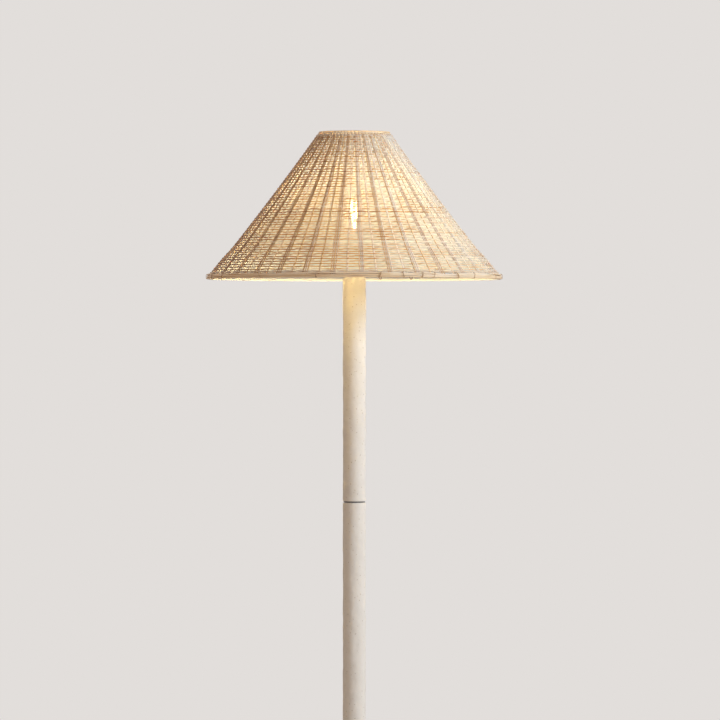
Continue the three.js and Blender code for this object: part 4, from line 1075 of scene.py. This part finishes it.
loops = np.radians(np.array([9.9, 22.0]) - 90)[:, None]
t = np.linspace(-0.5, 0.5, 25)[None]
loop_drop, loop_span, loop_out = 4.2 * mm, 5 * mm, 3.6 * mm
loop_thick, loop_wide = 0.4 * mm, 0.6 * mm
hang = loop_drop * (1 - (2 * t) ** 2)
bearing = loops + t * loop_span / bundle_middle
line = about(bearing, bundle_middle + loop_out, rim_low.z + 1 * mm - hang)
points = carried(line, about(bearing, 1, 0), loop_thick, loop_wide, 6, False)
hanging = skin("lashing_loops", points, lash_cane, closed=False, tone=np.array([[0.45]]))
for piece in (bundle, bound, hanging):
    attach(piece, "shade")
    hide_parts("shade_bottom_border")


# Top border. Three canes laid close round the mouth on the slope, whipped together with thin cane
# at every stake, so that the edge stays as thin as the weave.
lip_radius = mouth_radius - 2.9 * mm
lip_thick, lip_wide = 1.2 * mm, 1.25 * mm
angle = once_round(256)[None]
lip = np.array([[0.2, 0.3], [-2.5, 0.2], [1.7, 3.0]]) * mm
line = about(angle, lip_radius + lip[:, :1], mouth_high.z - lip[:, 1:])
points = carried(line, along_z, lip_thick, lip_wide, 8, True)
core = skin("mouth_canes", points, border_cane, closed=True, tone=np.array([[0.5], [0.6], [0.7]]))
whips, whip_pitch, whip_wide = 64, 2.6 * mm, 0.7 * mm
whip_radius, whip_level = lip_radius - 0.3 * mm, mouth_high.z - 1.7 * mm
t = np.linspace(0, 1, 33)[None]
b = 2 * np.pi * t + 1.0
start = (np.arange(whips)[:, None] + 0.5) * (2 * np.pi / whips) + first_main
whip_out, whip_up = 3.4 * mm, 2.2 * mm
out, rise = whip_out * np.cos(b), whip_up * np.sin(b)
out, rise = out * 0.85 - rise * 0.4, rise * 0.85 - out * 0.45  # leaning with the slope
bearing = start + (t - 0.5) * whip_pitch / lip_radius
line = about(bearing, whip_radius + out, whip_level + rise)
away = about(bearing, out, rise)
points = carried(line, away, lash_thick, whip_wide, 6, False)
tone = rng.uniform(0.3, 0.9, (whips, 1))
wrapping = skin("mouth_whipping", points, lash_cane, closed=False, tone=tone)
for piece in (core, wrapping):
    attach(piece, "shade")
    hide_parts("shade_top_border")


# Shade liner. A stiff cone of thin off-white lampshade laminate inside the weave, denser towards
# the mouth and hemmed with white tape at its foot. It evens out the light and hides what is inside.
liner_face = 5.5 * mm
liner_back = 6.2 * mm
liner_top, liner_foot = weave_high.z - 0.2 * mm, rim_low.z
hem = 8.5 * mm


def liner_side(depth, steps):
    """The radius and height of a line down the slope at a depth below its outermost surface."""
    heights = np.linspace(liner_top, liner_foot, steps)
    slant = slant_at(heights + outward_up * depth)
    return np.stack([cone_radius(slant) - outward_radial * depth, heights], -1)


laminate, tree = start_material("translucent_laminate")
hem_top = liner_foot + hem
thin_from, thin_to = liner_foot + 18 * mm, liner_foot + 218 * mm
place = add(tree, "TexCoord").outputs["Object"]
fleece = add(
    tree, "TexNoise", {"Scale": 1 / (7 * mm), "Detail": 5, "Roughness": 0.65, "Vector": place}
)
tint = add(tree, "Mix", {"data_type": "RGBA", 6: colour("f6e8ca"), 7: colour("fcf0d8"), 0: fleece})
height = add(tree, "SeparateXYZ", {"Vector": place})
above_hem = add(
    tree, "MapRange",
    {"From Min": hem_top - 0.3 * mm, "From Max": hem_top + 0.3 * mm, "Value": height.outputs["Z"]}
)
taped = add(
    tree, "Mix", {"data_type": "RGBA", 6: colour("fbfbfa"), 0: above_hem, 7: tint.outputs[2]}
)
shader = add(
    tree, "BsdfPrincipled",
    {"Roughness": 0.7, "Specular IOR Level": 0.3, "Base Color": taped.outputs[2]}
)
lowness = add(
    tree, "MapRange",
    {
        "From Min": thin_from, "From Max": thin_to, "To Min": 1, "To Max": 0,
        "Value": height.outputs["Z"]
    }
)
steep = add(tree, "Math", {"operation": "POWER", 1: 4, 0: lowness})
warmth = add(
    tree, "Mix", {"data_type": "RGBA", 6: colour("a8bae0"), 7: colour("d8dbe2"), 0: lowness}
)
let_through = add(tree, "BsdfTranslucent", {"Color": warmth.outputs[2]})
thinness = add(tree, "MapRange", {"To Min": 0.36, "To Max": 0.88, "Value": steep})
share = add(tree, "Math", {"operation": "MULTIPLY", 0: thinness, 1: above_hem})
matt = add(tree, "MixShader", {0: share, 1: shader, 2: let_through})
straight = add(tree, "BsdfTransparent", {"Color": colour("fff8ec")})
both = add(tree, "MixShader", {0: 0.14, 1: matt, 2: straight})
add(tree, "OutputMaterial", {"Surface": both})

outline = np.vstack([liner_side(liner_face, 40), liner_side(liner_back, 40)[::-1]])
liner = skin("shade_lining", turned(outline, 256), laminate, closed=True)
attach(liner, "shade")
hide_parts("shade_liner")


# Shade wires. A zinc-plated steel ring inside the rim, and the spider: a punched hub with three
# bent arms welded to a ring that sits inside the mouth.
def wire_ring(name, cad_node, tube_radius, level, ring_radius):
    """A round wire ring about the column."""
    line = about(once_round(192)[None], ring_radius, level)
    made = skin(name, carried(line, along_z, tube_radius, tube_radius, 12, True), zinc, closed=True)
    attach(made, "shade")
    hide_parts(cad_node)


ring_wire = 1.6 * mm
low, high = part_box("shade_bottom_ring")
wire_ring("rim_wire", "shade_bottom_ring", ring_wire, (low.z + high.z) / 2, high.x - ring_wire)
low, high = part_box("shade_spider")
ring_level = high.z - ring_wire
spider_ring = high.x - ring_wire
wire_ring("mouth_wire", "shade_spider", ring_wire, ring_level, spider_ring)

hub_sheet, hub_radius, hub_edge = 1.6 * mm, 15 * mm, 0.4 * mm
hub_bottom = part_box("finial")[0].z - 1.9 * mm
hub_top = hub_bottom + hub_sheet
stud_hole = 3.45 * mm
outline = ring_profile(stud_hole, hub_radius, hub_bottom, hub_top, hub_edge)
hub_plate = skin("spider_hub", turned(outline, 64), zinc, closed=True)
arm, flat = 1.6 * mm, 9 * mm
knots = [
    (hub_radius - flat / 2, hub_top + arm / 2), (hub_radius + flat / 2, hub_top + arm / 2),
    (spider_ring - flat, ring_level - arm), (spider_ring, ring_level)
]
line = about(np.radians([[90], [210], [330]]), *through(knots, 12).T)
spider_arms = skin("spider_arms", carried(line, along_z, arm, arm, 12, False), zinc, closed=False)
for piece in (hub_plate, spider_arms):
    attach(piece, "shade")
    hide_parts("shade_spider")


# Swivel stud and finial. Turned brass: a rivet head under the crown, a broad seat, a threaded end,
# and a small ball finial that screws down on it.
low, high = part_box("swivel_stud")
seat_low, seat_high = harp_high.z + 0.3 * mm, harp_high.z + 1.8 * mm
thread, shank = 3.1 * mm, 2.4 * mm
rivet_radius, rivet_top = 4.5 * mm, low.z + 1.6 * mm
edges = np.array([0, 0.9, 0.2, 0.1, 0.1, 0.4, 0.4, 0.2, 0.5, 0]) * mm
outline = resampled(
    eased(
        [
            (pole, low.z), (rivet_radius, low.z), (rivet_radius, rivet_top), (shank, rivet_top),
            (shank, seat_low), (high.x, seat_low), (high.x, seat_high), (thread, seat_high),
            (thread, high.z), (pole, high.z)
        ], edges
    ), 0.22 * mm
)
points = turned(outline, 64)
angle, distance = polar(points)
pitch = 0.94 * mm
crest = np.abs((points[..., 2] / pitch - angle / (2 * np.pi)) % 1 - 0.5) * 2
cut_here = (points[..., 2] > seat_high + 0.8 * mm) & (distance > thread - 0.2 * mm)
sunk = 0.35 * mm * crest * cut_here / distance
stud = skin("threaded_stud", points * (1 - sunk[..., None] * [1, 1, 0]), brass, closed=True)
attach(stud, "swivel")
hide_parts("swivel_stud")

low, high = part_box("finial")
ball_radius = high.x
ball_rise = 0.86 * ball_radius
ball_centre = high.z - ball_rise
t = np.linspace(-0.22 * math.pi, 0.49 * math.pi, 28)
ball = np.stack([ball_radius * np.cos(t), ball_centre + ball_rise * np.sin(t)], -1)
foot_mm = [(3.45, 0), (6.1, 0), (6.5, 0.5), (6.5, 1.6), (6, 2.1), (4.6, 3), (4.6, 3.8)]
foot = np.array(foot_mm) * mm + [0, low.z]
hole_depth, drill_point = 12.4 * mm, 0.6 * mm
drilled = [(narrow, low.z + hole_depth + drill_point), (stud_hole, low.z + hole_depth)]
knob_end = skin("ball_finial", turned(np.vstack([foot, ball, drilled]), 72), brass, closed=True)
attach(knob_end, "finial")
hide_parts("finial")

bpy.context.view_layer.update()
